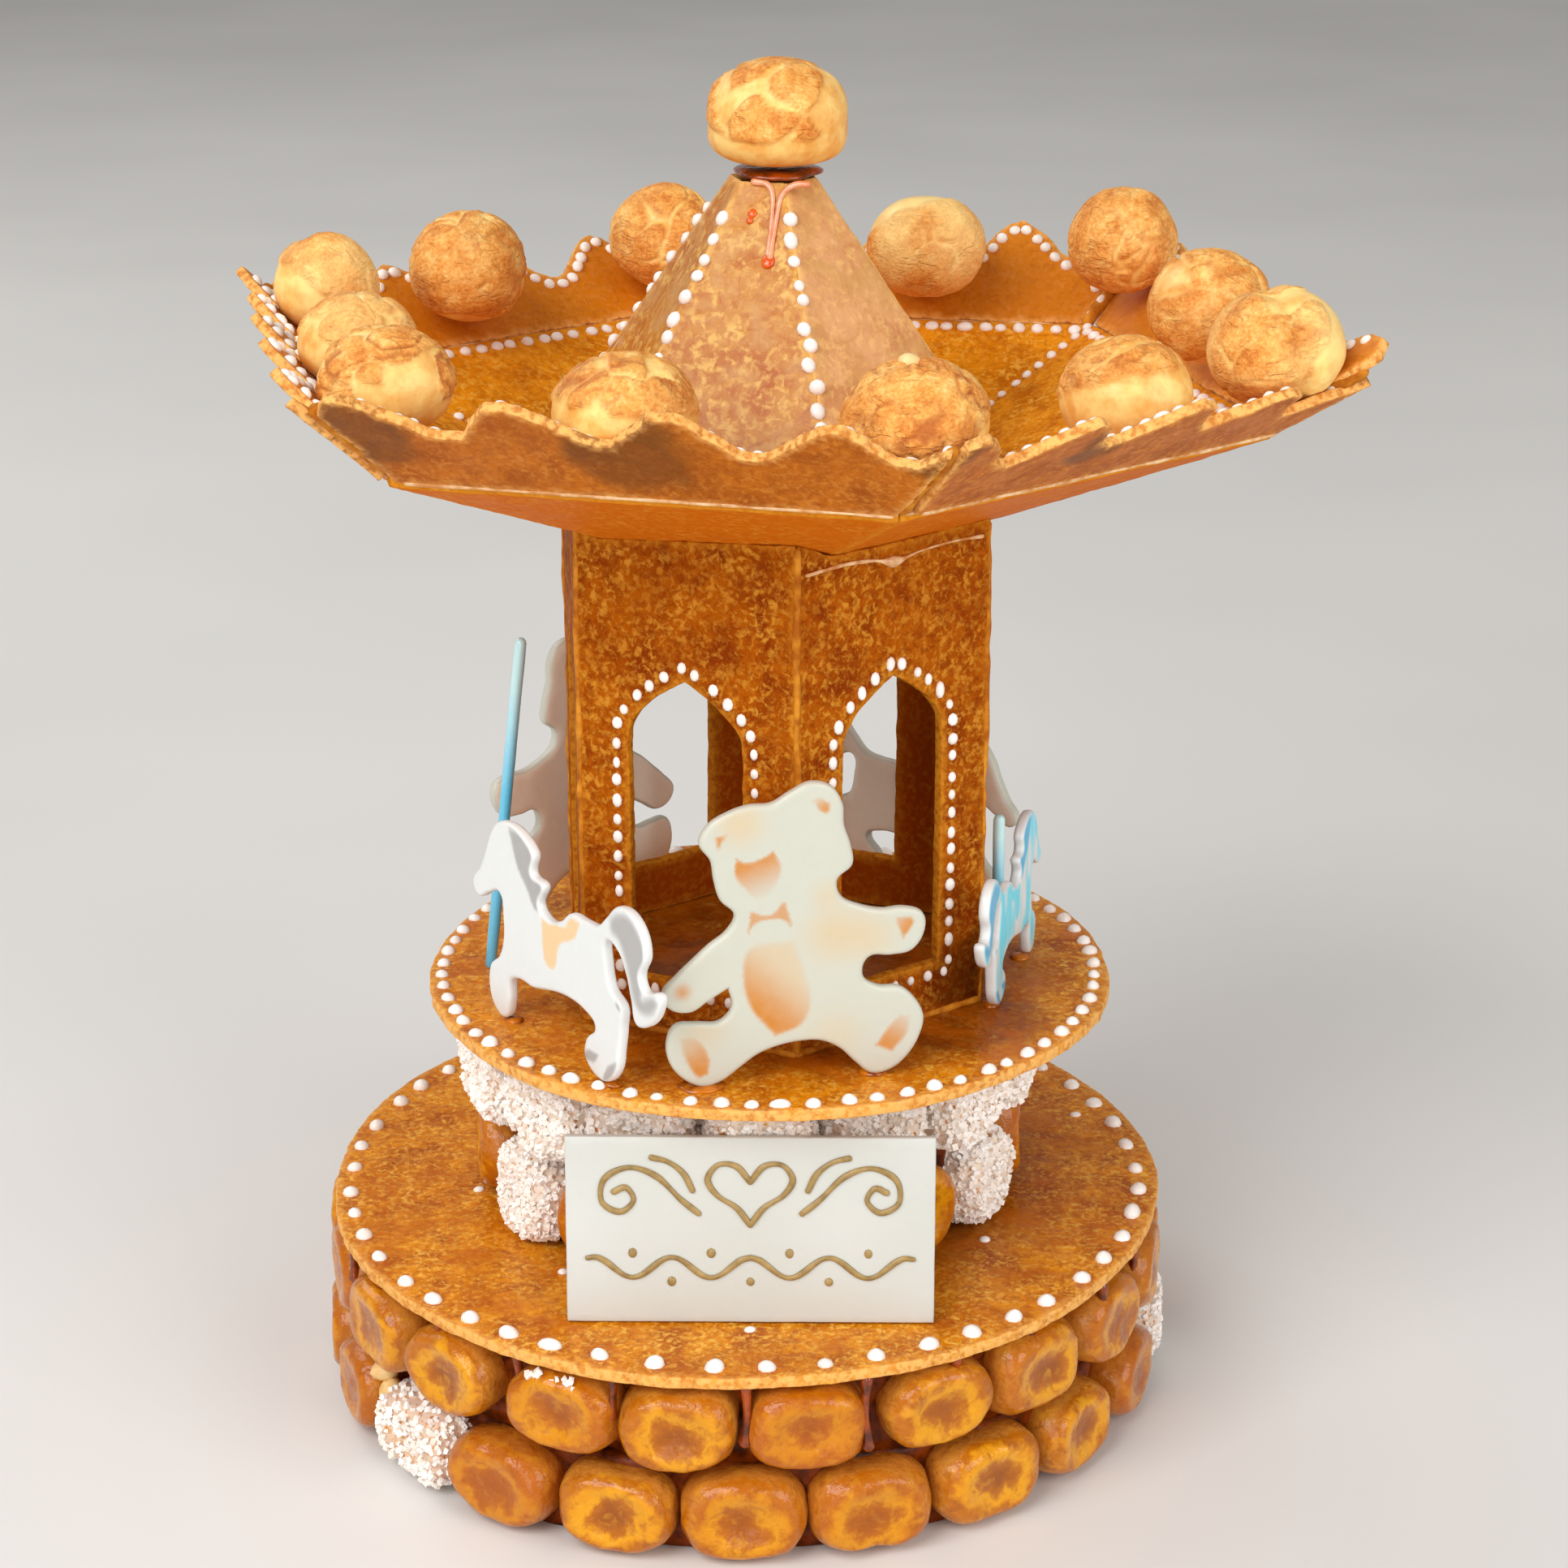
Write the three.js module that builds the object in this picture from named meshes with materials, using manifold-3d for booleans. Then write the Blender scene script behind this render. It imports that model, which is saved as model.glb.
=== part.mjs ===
// A croquembouche built as a small merry-go-round. Two tiers of choux carry
// round nougatine discs, a six-sided nougatine tower with pointed windows
// stands on the upper disc, and a scalloped six-sided tray with a pyramid in
// it makes the roof. Bears and horses of white chocolate stand round the tower.
// Millimetres, +Z up, front towards -Y.
import * as THREE from 'three';
import { mergeVertices } from 'three/addons/utils/BufferGeometryUtils.js';
import { ConvexGeometry } from 'three/addons/geometries/ConvexGeometry.js';
import Module from 'manifold-3d';

const wasm = await Module();
wasm.setup();

// Driving dimensions
const GAP = 0.3;
const NOUGATINE = 4;
const ROOF_PLATE = 3.4;
const BASE_TIER = { x: -14.2, rowRadius: [152.5, 152.5], core: 138, rowHeight: 33.2, count: 21, bottom: 0 };
const LARGE_DISC = { x: -14.3, radius: 149.3, top: 71.2, dots: 50, dotRadius: 3.3, dotSides: 5, inset: 6.5 };
const UPPER_TIER = { x: -13, rowRadius: [100, 103.5], core: 85, rowHeight: 38.2, count: 15 };
const SMALL_DISC = { x: -5.5, radius: 120.4, top: 152.5, dots: 70, dotRadius: 2.7, dotSides: 4, inset: 4.5 };
// The walls' stock height is cut down to fit under the tray.
const TOWER = { x: -4.6, radius: 79.7, stock: 185, cornerDegrees: -83.9 };
const WINDOW = { halfWidth: 20.5, sill: 19.5, spring: 107, apex: 126.5 };
const WINDOW_DOT = { radius: 2.3, height: 1.6, pitch: 14, margin: 4.4 };
const ROOF_CENTRE = new THREE.Vector2(-1, 0);
const SEAM_Z = 359.5;
const TRAY_FLOOR = { innerFactor: 0.47, innerZ: 327.3, outerFactor: 0.9965 };
const PYRAMID = { x: -3.5, footRadius: 94, footZ: 322, topRadius: 14.7, topZ: 433.1, cornerDegrees: -76 };
const CAP = { radius: 15.5, height: 2.6 };
const TOP_CHOU = { x: -2.1, y: 0, half: 25.8, rise: 18.8 };
const PLAQUE = {
  width: 122, height: 65, thickness: 3, x: -11.2, y: -114.2, leanDegrees: 6.5, turnDegrees: -0.6,
};
const BELLY = 0.92;
const FIGURE_THICKNESS = 4;

// The roof's six inner seam corners, hand-made and so uneven, anticlockwise
// from the front left, each with the crown panel that follows it: its upward
// slope, and the number, place, steepness and heights of its scallops.
const ROOF_SIDES = [
  {
    x: -121.5, y: -101.5, slopeDegrees: 47,
    waves: 3.97, phase: 0.25, steep: -0.25, valley: 26.4, crest: 44.5, shrink: 0, overhang: 2,
  },
  {
    x: 34.2, y: -141.5, slopeDegrees: 40.5,
    waves: 4.08, phase: 0.41, steep: 0.45, valley: 24, crest: 45, shrink: 0.42, overhang: 22,
  },
  {
    x: 158, y: -41, slopeDegrees: 43,
    waves: 3.6, phase: 0.32, steep: 0.3, valley: 25, crest: 43, shrink: 0, overhang: 2,
  },
  {
    x: 114, y: 114, slopeDegrees: 45,
    waves: 4.2, phase: 0.52, steep: 0.4, valley: 26, crest: 45, shrink: 0, overhang: 2,
  },
  {
    x: -43, y: 137, slopeDegrees: 42,
    waves: 3.6, phase: 0.05, steep: 0, valley: 22, crest: 38, shrink: 0, overhang: 2,
  },
  {
    x: -154.5, y: 48.5, slopeDegrees: 46,
    waves: 5, phase: 0.38, steep: 0.2, valley: 27, crest: 45.5, shrink: 0, overhang: 4,
  },
];
const CROWN = { start: 4.4, stepsPerWave: 7 };

// Choux round the tray: place of the middle, half width and half height.
const RIM_CHOUX = [
  { name: 'chou_rim_front_left', x: -47.5, y: -115, z: 381, half: 23.6, rise: 19.5 },
  { name: 'chou_rim_front_right', x: 38.8, y: -134, z: 383, half: 23.6, rise: 20 },
  { name: 'chou_rim_right_front', x: 107.6, y: -65, z: 374, half: 22.8, rise: 20 },
  { name: 'chou_rim_right_corner', x: 158.5, y: -39, z: 384, half: 23.5, rise: 20 },
  { name: 'chou_rim_right_side', x: 142.6, y: 9.5, z: 386.5, half: 21.8, rise: 21 },
  { name: 'chou_rim_right_back', x: 122.2, y: 101.7, z: 392, half: 20.6, rise: 20.5 },
  { name: 'chou_rim_back_right', x: 51.8, y: 119, z: 386.5, half: 22, rise: 20.5 },
  { name: 'chou_rim_back_left', x: -44, y: 134, z: 387, half: 21, rise: 20.5 },
  { name: 'chou_rim_left_back', x: -111.8, y: 79, z: 386.6, half: 21.8, rise: 21 },
  { name: 'chou_rim_left_corner', x: -156, y: 30, z: 390, half: 18.6, rise: 18 },
  { name: 'chou_rim_left_side', x: -137, y: -40, z: 385.5, half: 20.6, rise: 18 },
  { name: 'chou_rim_left_front', x: -123, y: -84, z: 383, half: 21.8, rise: 18.5 },
];

// Turning points of the outlines of the cut-out figures, looking at their
// decorated side: across from the middle, and up from the disc.
const BEAR_OUTLINE = [
  [-7, 98], [1, 102.5], [6.5, 104.5], [12, 103], [16, 98], [16.5, 91], [20, 77], [18, 72.5], [14, 69.5],
  [15, 65.5], [26.5, 59.5], [41, 58.5], [44.5, 53.5], [39, 43.5], [24.5, 42], [24.5, 33.5], [37, 30.5],
  [44, 19.5], [37.5, 5], [27.5, 0.6], [11.5, 13.5], [-8, 12.5], [-28.5, 0.6], [-40, 8.5], [-40, 22.5],
  [-21.5, 24.5], [-21, 35], [-34.5, 27.5], [-43.5, 32.5], [-26.5, 51.5], [-18.5, 58.5], [-25.5, 69],
  [-25.5, 77], [-30.5, 87.5], [-24.5, 94], [-13, 98],
];
const HORSE_OUTLINE = [
  [-33, 73], [-24.5, 74.5], [-17.5, 73], [-9.5, 66], [-12, 60.5], [-5, 59], [-8, 49.5], [3, 48],
  [9.5, 54], [28, 56], [40, 66.5], [49.5, 66], [56.5, 57], [52, 42.5], [65, 43.5], [58, 31.5],
  [50.5, 29], [45.5, 43.5], [37.5, 53.5], [33.5, 52.5], [35.5, 36.5], [42.5, 31], [40, 18.5],
  [40, 11.5], [29.5, 0.6], [17.5, 9], [25.5, 20], [10, 24], [-16.5, 19], [-26, 19.5], [-29, 7],
  [-33.5, 0.6], [-41.5, 7], [-39.5, 21], [-33, 25.5], [-33.5, 47.5], [-47.5, 41.5], [-52, 43.5],
  [-44, 55.5], [-37.5, 68.5],
];
const OUTLINE_STEPS = 60;
// Where each figure stands, the way its decorated side faces, and its scale.
const FIGURES = [
  { name: 'bear_front', outline: BEAR_OUTLINE, x: 2.5, y: -96.8, facing: -79.3, scale: 1 },
  { name: 'bear_back', outline: BEAR_OUTLINE, x: -73.6, y: 60.5, facing: 134.1, scale: 1 },
  { name: 'horse_left', outline: HORSE_OUTLINE, x: -75.5, y: -75.4, facing: -144.3, scale: 1 },
  { name: 'horse_right', outline: HORSE_OUTLINE, x: 79.5, y: -15.8, facing: -16.9, scale: 0.76, mirrored: true },
  { name: 'horse_back', outline: HORSE_OUTLINE, x: 50, y: 66, facing: 48, scale: 0.92 },
];
const POLES = [
  { name: 'pole_left', x: -104.5, y: -2.1, topX: -90.5, topY: -2.1, length: 121, radius: 2.1 },
  { name: 'pole_right', x: 74.5, y: -16, topX: 74.5, topY: -16, length: 60.5, radius: 2.1 },
];

const MATERIALS = {
  nougatine: { color: 0xb9691f, roughness: 0.32, metalness: 0 },
  paleNougatine: { color: 0xc48a4c, roughness: 0.3, metalness: 0 },
  crown: { color: 0xc07a3c, roughness: 0.55, metalness: 0 },
  choux: { color: 0xb66a1c, roughness: 0.25, metalness: 0 },
  craquelin: { color: 0xd9a05a, roughness: 0.8, metalness: 0 },
  caramel: { color: 0x9c3d0c, roughness: 0.12, metalness: 0 },
  whiteChocolate: { color: 0xf0e8dc, roughness: 0.45, metalness: 0 },
  blueSugar: { color: 0x6cc3e0, roughness: 0.3, metalness: 0 },
};

const part = new THREE.Group();

function addMesh(name, geometry, look) {
  const mesh = new THREE.Mesh(geometry, new THREE.MeshStandardMaterial(MATERIALS[look]));
  mesh.name = name;
  part.add(mesh);
  return mesh;
}

// A small seeded number source, so that uneven pieces come out alike each time.
function numberSource(seed) {
  let state = seed;
  return () => {
    state = (state * 1664525 + 1013904223) % 4294967296;
    return state / 4294967296;
  };
}

// Closed geometry as a solid for joining and cutting, and back.
function solidOf(geometry) {
  const bare = geometry.clone();
  bare.deleteAttribute('normal');
  bare.deleteAttribute('uv');
  const merged = mergeVertices(bare, 1e-4);
  return new wasm.Manifold(new wasm.Mesh({
    numProp: 3,
    vertProperties: new Float32Array(merged.attributes.position.array),
    triVerts: new Uint32Array(merged.index.array),
  }));
}

function geometryOf(solid) {
  const mesh = solid.getMesh();
  const geometry = new THREE.BufferGeometry();
  geometry.setAttribute('position', new THREE.BufferAttribute(mesh.vertProperties, 3));
  geometry.setIndex(new THREE.BufferAttribute(mesh.triVerts, 1));
  return geometry;
}

function joined(geometries) {
  return geometryOf(geometries.map(solidOf).reduce((whole, piece) => whole.add(piece)));
}

// A piped drop of icing that stands on the plane z = 0, sunk a little into it.
function icingDrop(radius, height, sides, pointed) {
  const sink = 0.8;
  const profile = [
    new THREE.Vector2(0, -sink),
    new THREE.Vector2(radius, -sink),
    new THREE.Vector2(radius * 0.66, height * 0.8),
    new THREE.Vector2(0, pointed ? height : height * 0.8),
  ];
  const drop = new THREE.LatheGeometry(profile, sides);
  return drop.rotateX(Math.PI / 2);
}

// Round nougatine disc, cut by hand, with a row of icing drops near its rim.
function discWithDrops(disc, seed) {
  const random = numberSource(seed);
  const steps = 48;
  const shape = new THREE.Shape();
  for (let i = 0; i < steps; i += 1) {
    const a = (i / steps) * Math.PI * 2;
    const r = disc.radius + 0.7 * Math.sin(3 * a + seed) + 0.5 * Math.sin(7 * a + 2 * seed);
    if (i === 0) shape.moveTo(r, 0);
    else shape.lineTo(r * Math.cos(a), r * Math.sin(a));
  }
  const pieces = [new THREE.ExtrudeGeometry(shape, { depth: NOUGATINE, bevelEnabled: false })];
  for (let i = 0; i < disc.dots; i += 1) {
    const a = ((i + 0.25 * (random() - 0.5)) / disc.dots) * Math.PI * 2;
    const r = disc.radius - disc.inset + 0.8 * (random() - 0.5);
    const radius = disc.dotRadius * (0.9 + 0.2 * random());
    const drop = icingDrop(radius, disc.dotRadius * 0.85, disc.dotSides, true);
    pieces.push(drop.rotateZ(a).translate(r * Math.cos(a), r * Math.sin(a), NOUGATINE));
  }
  return joined(pieces).translate(disc.x, 0, disc.top - NOUGATINE);
}

// One chou of a tier: it lies on its side, its flat caramelled base outwards
// along +X at x = 0. Profile: distance from its axis, and place along it.
function tierChou(halfWidth, halfHeight, depth) {
  const profile = [
    new THREE.Vector2(0, -depth),
    new THREE.Vector2(1, -depth * 0.4),
    new THREE.Vector2(0.74, 0),
    new THREE.Vector2(0, 0),
  ];
  const chou = new THREE.LatheGeometry(profile, 8);
  chou.rotateZ(-Math.PI / 2).rotateX(Math.PI / 8);
  return chou.scale(1, halfWidth, halfHeight);
}

// One row of choux stuck together with caramel round a full core.
function chouxRow(tier, row, firstDegrees, seed) {
  const random = numberSource(seed);
  const bottom = tier.bottom + row * (tier.rowHeight + GAP);
  const core = new THREE.CylinderGeometry(tier.core, tier.core, tier.rowHeight, tier.count);
  const pieces = [core.rotateX(Math.PI / 2)];
  const pitch = (Math.PI * 2) / tier.count;
  const radius = tier.rowRadius[row];
  const halfWidth = (radius - 11) * Math.sin(pitch / 2) * 1.02;
  for (let i = 0; i < tier.count; i += 1) {
    const a = THREE.MathUtils.degToRad(firstDegrees) + pitch * (i + 0.12 * (random() - 0.5));
    const size = 0.95 + 0.05 * random();
    const chou = tierChou(halfWidth * size, (tier.rowHeight / 2) * size, 28);
    chou.translate(radius - 2.5 * random(), 0, (tier.rowHeight / 2) * (size - 1) * 0.9);
    pieces.push(chou.rotateZ(a));
  }
  return joined(pieces).translate(tier.x, 0, bottom + tier.rowHeight / 2);
}

// Pointed window outline of the tower, grown outwards by a margin.
function windowOutline(margin, segments) {
  const half = WINDOW.halfWidth + margin;
  const shape = new THREE.Shape();
  shape.moveTo(-half, WINDOW.sill - margin);
  shape.lineTo(half, WINDOW.sill - margin);
  shape.lineTo(half, WINDOW.spring);
  shape.quadraticCurveTo(half - 2, WINDOW.spring + 9, 0, WINDOW.apex + margin * 1.2);
  shape.quadraticCurveTo(-half + 2, WINDOW.spring + 9, -half, WINDOW.spring);
  shape.lineTo(-half, WINDOW.sill - margin);
  return segments ? shape.getSpacedPoints(segments) : shape;
}

// One tower wall, outer face at y = 0 facing -Y, x across, z up, with mitred
// long edges, its window and the drops piped round it.
function towerWall() {
  const half = TOWER.radius / 2 - GAP / 2;
  const plan = new THREE.Shape();
  plan.moveTo(-half, 0);
  plan.lineTo(half, 0);
  plan.lineTo(half - NOUGATINE * Math.tan(Math.PI / 6), NOUGATINE);
  plan.lineTo(-half + NOUGATINE * Math.tan(Math.PI / 6), NOUGATINE);
  const wall = new THREE.ExtrudeGeometry(plan, { depth: TOWER.stock, bevelEnabled: false });
  const cutter = new THREE.ExtrudeGeometry(windowOutline(0), {
    depth: NOUGATINE * 3, bevelEnabled: false, curveSegments: 4,
  });
  cutter.rotateX(Math.PI / 2).translate(0, NOUGATINE * 2, 0);
  let solid = solidOf(wall).subtract(solidOf(cutter));
  const around = windowOutline(WINDOW_DOT.margin).getLength();
  const spots = windowOutline(WINDOW_DOT.margin, Math.round(around / WINDOW_DOT.pitch));
  for (const spot of spots.slice(0, -1)) {
    const drop = icingDrop(WINDOW_DOT.radius, WINDOW_DOT.height, 4, false);
    drop.rotateX(Math.PI / 2).translate(spot.x, 0, spot.y);
    solid = solid.add(solidOf(drop));
  }
  return geometryOf(solid);
}

// Corner k of the roof's six-sided plan, scaled about the roof's middle.
function roofCorner(k, factor, z) {
  const side = ROOF_SIDES[((k % 6) + 6) % 6];
  return new THREE.Vector3(
    ROOF_CENTRE.x + (side.x - ROOF_CENTRE.x) * factor,
    ROOF_CENTRE.y + (side.y - ROOF_CENTRE.y) * factor,
    z,
  );
}

function floorTop(factor) {
  const { innerFactor, innerZ } = TRAY_FLOOR;
  return innerZ + ((factor - innerFactor) / (1 - innerFactor)) * (SEAM_Z - innerZ);
}

// Upright thickness of one sloping panel of the tray's floor.
function floorDepth(k) {
  const middle = roofCorner(k, 1, 0).add(roofCorner(k + 1, 1, 0)).multiplyScalar(0.5);
  const run = middle.sub(new THREE.Vector3(ROOF_CENTRE.x, ROOF_CENTRE.y, 0)).length();
  return NOUGATINE * Math.hypot(1, (SEAM_Z - TRAY_FLOOR.innerZ) / (run * (1 - TRAY_FLOOR.innerFactor)));
}

// Two corners drawn in along their edge, so that neighbouring plates stay apart.
function drawnIn(from, to) {
  const along = to.clone().sub(from).normalize().multiplyScalar(GAP * 0.6);
  return [from.clone().add(along), to.clone().sub(along)];
}

// One trapezoid of the tray's floor, rising outwards.
function floorPanel(k) {
  const corners = [];
  for (const factor of [TRAY_FLOOR.innerFactor, TRAY_FLOOR.outerFactor]) {
    for (const z of [floorTop(factor), floorTop(factor) - floorDepth(k)]) {
      corners.push(...drawnIn(roofCorner(k, factor, z), roofCorner(k + 1, factor, z)));
    }
  }
  return new ConvexGeometry(corners);
}

// The whole space above or under the tray's floor, to trim what meets it.
function spaceBesideFloor(offset, height) {
  const wedges = [0, 1, 2, 3, 4, 5].map((k) => {
    const corners = [];
    for (const factor of [0.3, 1]) {
      const z = floorTop(factor) + offset(k);
      corners.push(roofCorner(k, factor, z), roofCorner(k + 1, factor, z));
      corners.push(roofCorner(k, factor, z + height), roofCorner(k + 1, factor, z + height));
    }
    return solidOf(new ConvexGeometry(corners));
  });
  return wedges.reduce((whole, wedge) => whole.add(wedge));
}

// One sloping side of the pyramid, trimmed to stand on the tray's floor.
function pyramidPanel(k, underFloor) {
  const { x, footRadius, footZ, topRadius, topZ, cornerDegrees } = PYRAMID;
  const lean = ((footRadius - topRadius) * Math.cos(Math.PI / 6)) / (topZ - footZ);
  const plate = (ROOF_PLATE * Math.hypot(1, lean)) / Math.cos(Math.PI / 6);
  const corner = (turn, radius, z) => {
    const a = THREE.MathUtils.degToRad(cornerDegrees + 60 * turn);
    return new THREE.Vector3(x + radius * Math.cos(a), radius * Math.sin(a), z);
  };
  const corners = [];
  for (const [radius, z] of [[footRadius, footZ], [topRadius, topZ]]) {
    for (const inset of [0, plate]) {
      corners.push(...drawnIn(corner(k, radius - inset, z), corner(k + 1, radius - inset, z)));
    }
  }
  return geometryOf(solidOf(new ConvexGeometry(corners)).subtract(underFloor));
}

// Unit directions of one crown panel: along its seam, up its slope and outwards.
function crownFrame(k) {
  const from = roofCorner(k, 1, SEAM_Z);
  const to = roofCorner(k + 1, 1, SEAM_Z);
  const along = to.clone().sub(from).normalize();
  const away = new THREE.Vector3(along.y, -along.x, 0);
  const slope = THREE.MathUtils.degToRad(ROOF_SIDES[((k % 6) + 6) % 6].slopeDegrees);
  const up = away.clone().multiplyScalar(Math.cos(slope));
  up.z = Math.sin(slope);
  const outward = along.clone().cross(up).negate();
  if (outward.z > 0) outward.negate();
  return { from, length: to.distanceTo(from), along, up, outward };
}

// How far a panel's end edge leans along the seam for each millimetre up.
function endLean(k, neighbour, frame) {
  const line = crownFrame(k).outward.clone().cross(crownFrame(neighbour).outward).normalize();
  if (line.z < 0) line.negate();
  return line.dot(frame.along) / line.dot(frame.up);
}

// Height of the hand-cut scallops at a share t of the way along a panel.
function scallop(t, side) {
  const turn = (t * side.waves + side.phase) * Math.PI * 2;
  const wave = 0.5 - 0.5 * Math.cos(turn + side.steep * Math.cos(turn));
  const height = side.valley + (side.crest - side.valley) * wave + 1.2 * Math.sin(t * 9 + side.x);
  return height * (1 - side.shrink * t);
}

// One scalloped panel of the crown, flaring outwards from the tray's seam.
// Its far end reaches past the corner, over the start of the next panel.
function crownPanel(k) {
  const frame = crownFrame(k);
  const side = ROOF_SIDES[k];
  const leftLean = endLean(k, k - 1, frame);
  const rightLean = endLean(k, k + 1, frame) + side.overhang / side.crest;
  const steps = Math.round(side.waves * CROWN.stepsPerWave);
  const shape = new THREE.Shape();
  shape.moveTo(CROWN.start, 0);
  shape.lineTo(frame.length - GAP, 0);
  for (let i = steps; i >= 0; i -= 1) {
    const t = i / steps;
    const height = scallop(t, side);
    const left = CROWN.start + leftLean * height;
    const right = frame.length - GAP + rightLean * height;
    shape.lineTo(left + (right - left) * t, height);
  }
  const panel = new THREE.ExtrudeGeometry(shape, { depth: ROOF_PLATE, bevelEnabled: false });
  const normal = frame.along.clone().cross(frame.up);
  const place = new THREE.Matrix4().makeBasis(frame.along, frame.up, normal);
  if (normal.dot(frame.outward) < 0) panel.translate(0, 0, -ROOF_PLATE);
  place.setPosition(frame.from);
  return panel.applyMatrix4(place);
}

// Push a point out of the tray's floor and crown, so that a chou rests on them.
function restOnTray(point) {
  for (let pass = 0; pass < 3; pass += 1) {
    for (let k = 0; k < 6; k += 1) {
      const frame = crownFrame(k);
      const inner = roofCorner(k, TRAY_FLOOR.innerFactor, TRAY_FLOOR.innerZ);
      const floorUp = inner.sub(frame.from).cross(frame.along).normalize();
      if (floorUp.z < 0) floorUp.negate();
      for (const normal of [floorUp, frame.outward.clone().negate()]) {
        const depth = GAP - point.clone().sub(frame.from).dot(normal);
        if (depth > 0) point.addScaledVector(normal, depth);
      }
    }
  }
  return point;
}

// A ball of choux pastry, rounder above than below, a little uneven.
function chouBall(half, rise, seed) {
  const ball = new THREE.SphereGeometry(1, 10, 6).rotateX(Math.PI / 2);
  const points = ball.attributes.position;
  for (let i = 0; i < points.count; i += 1) {
    const p = new THREE.Vector3().fromBufferAttribute(points, i);
    const bump = 1 + 0.025 * Math.sin(3 * p.x + seed) + 0.025 * Math.cos(4 * p.y + 2 * seed);
    const z = p.z * rise * (p.z < 0 ? BELLY : 1);
    points.setXYZ(i, p.x * half * bump, p.y * half * bump, z);
  }
  return ball;
}

function rimChou(chou, seed) {
  const ball = chouBall(chou.half, chou.rise, seed).translate(chou.x, chou.y, chou.z);
  const points = ball.attributes.position;
  for (let i = 0; i < points.count; i += 1) {
    const p = restOnTray(new THREE.Vector3().fromBufferAttribute(points, i));
    points.setXYZ(i, p.x, p.y, p.z);
  }
  return ball;
}

// A flat figure cut from its outline, standing upright on the small disc.
function figure({ outline, x, y, facing, scale, mirrored }) {
  const turns = outline.map(([u, v]) => new THREE.Vector3((mirrored ? -u : u) * scale, v * scale, 0));
  const curve = new THREE.CatmullRomCurve3(turns, true);
  const points = curve.getSpacedPoints(OUTLINE_STEPS).slice(0, -1);
  for (const point of points) point.y = Math.max(point.y, GAP);
  const body = new THREE.ExtrudeGeometry(new THREE.Shape(points), {
    depth: FIGURE_THICKNESS, bevelEnabled: false,
  });
  body.translate(0, 0, -FIGURE_THICKNESS / 2).rotateX(Math.PI / 2);
  body.rotateZ(THREE.MathUtils.degToRad(facing + 90));
  return body.translate(x, y, SMALL_DISC.top);
}

function pole({ x, y, topX, topY, length, radius }) {
  const stick = new THREE.CylinderGeometry(radius, radius, length, 8).rotateX(Math.PI / 2);
  const tilt = new THREE.Vector3(topX - x, topY - y, length).normalize();
  const turn = new THREE.Quaternion().setFromUnitVectors(new THREE.Vector3(0, 0, 1), tilt);
  stick.translate(0, 0, length / 2).applyQuaternion(turn);
  return stick.translate(x, y, SMALL_DISC.top + GAP * 2);
}

// Tiers and discs
addMesh('base_row_lower', chouxRow(BASE_TIER, 0, -106, 11), 'choux');
addMesh('base_row_upper', chouxRow(BASE_TIER, 1, -97.5, 12), 'choux');
addMesh('large_disc', discWithDrops(LARGE_DISC, 1), 'nougatine');
const upperTier = { ...UPPER_TIER, bottom: LARGE_DISC.top + GAP };
addMesh('upper_row_lower', chouxRow(upperTier, 0, -122.4, 13), 'choux');
addMesh('upper_row_upper', chouxRow(upperTier, 1, -110.4, 14), 'choux');
addMesh('small_disc', discWithDrops(SMALL_DISC, 2), 'nougatine');

// Plaque, leaning on the upper tier
const plaque = new THREE.BoxGeometry(PLAQUE.width, PLAQUE.thickness, PLAQUE.height);
plaque.translate(0, PLAQUE.thickness / 2, PLAQUE.height / 2);
plaque.rotateX(-THREE.MathUtils.degToRad(PLAQUE.leanDegrees));
plaque.rotateZ(THREE.MathUtils.degToRad(PLAQUE.turnDegrees));
addMesh('plaque', plaque.translate(PLAQUE.x, PLAQUE.y, LARGE_DISC.top + GAP * 2.5), 'whiteChocolate');

// Tower, its walls trimmed under the tray
const overTray = spaceBesideFloor((k) => -floorDepth(k) - GAP, 60);
const wallDistance = TOWER.radius * Math.cos(Math.PI / 6);
for (let k = 0; k < 6; k += 1) {
  const facing = THREE.MathUtils.degToRad(TOWER.cornerDegrees + 30 + 60 * k);
  const wall = towerWall().rotateZ(facing + Math.PI / 2);
  const x = TOWER.x + wallDistance * Math.cos(facing);
  wall.translate(x, wallDistance * Math.sin(facing), SMALL_DISC.top + GAP);
  addMesh(`tower_wall_${k + 1}`, geometryOf(solidOf(wall).subtract(overTray)), 'nougatine');
}

// Roof
const underFloor = spaceBesideFloor(() => GAP, -60);
for (let k = 0; k < 6; k += 1) {
  addMesh(`tray_floor_${k + 1}`, floorPanel(k), 'nougatine');
  addMesh(`crown_panel_${k + 1}`, crownPanel(k), 'crown');
  addMesh(`pyramid_side_${k + 1}`, pyramidPanel(k, underFloor), 'paleNougatine');
}
const cap = new THREE.CylinderGeometry(CAP.radius * 0.8, CAP.radius, CAP.height, 12).rotateX(Math.PI / 2);
const capZ = PYRAMID.topZ + GAP + CAP.height / 2;
addMesh('caramel_cap', cap.translate(TOP_CHOU.x, TOP_CHOU.y, capZ), 'caramel');

// Choux on the roof
RIM_CHOUX.forEach((chou, i) => addMesh(chou.name, rimChou(chou, i), 'craquelin'));
const topChou = chouBall(TOP_CHOU.half, TOP_CHOU.rise, 20);
const topChouZ = capZ + CAP.height / 2 + GAP + TOP_CHOU.rise * BELLY;
addMesh('chou_top', topChou.translate(TOP_CHOU.x, TOP_CHOU.y, topChouZ), 'craquelin');

// Figures and poles
for (const item of FIGURES) addMesh(item.name, figure(item), 'whiteChocolate');
for (const item of POLES) addMesh(item.name, pole(item), 'blueSugar');

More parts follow.
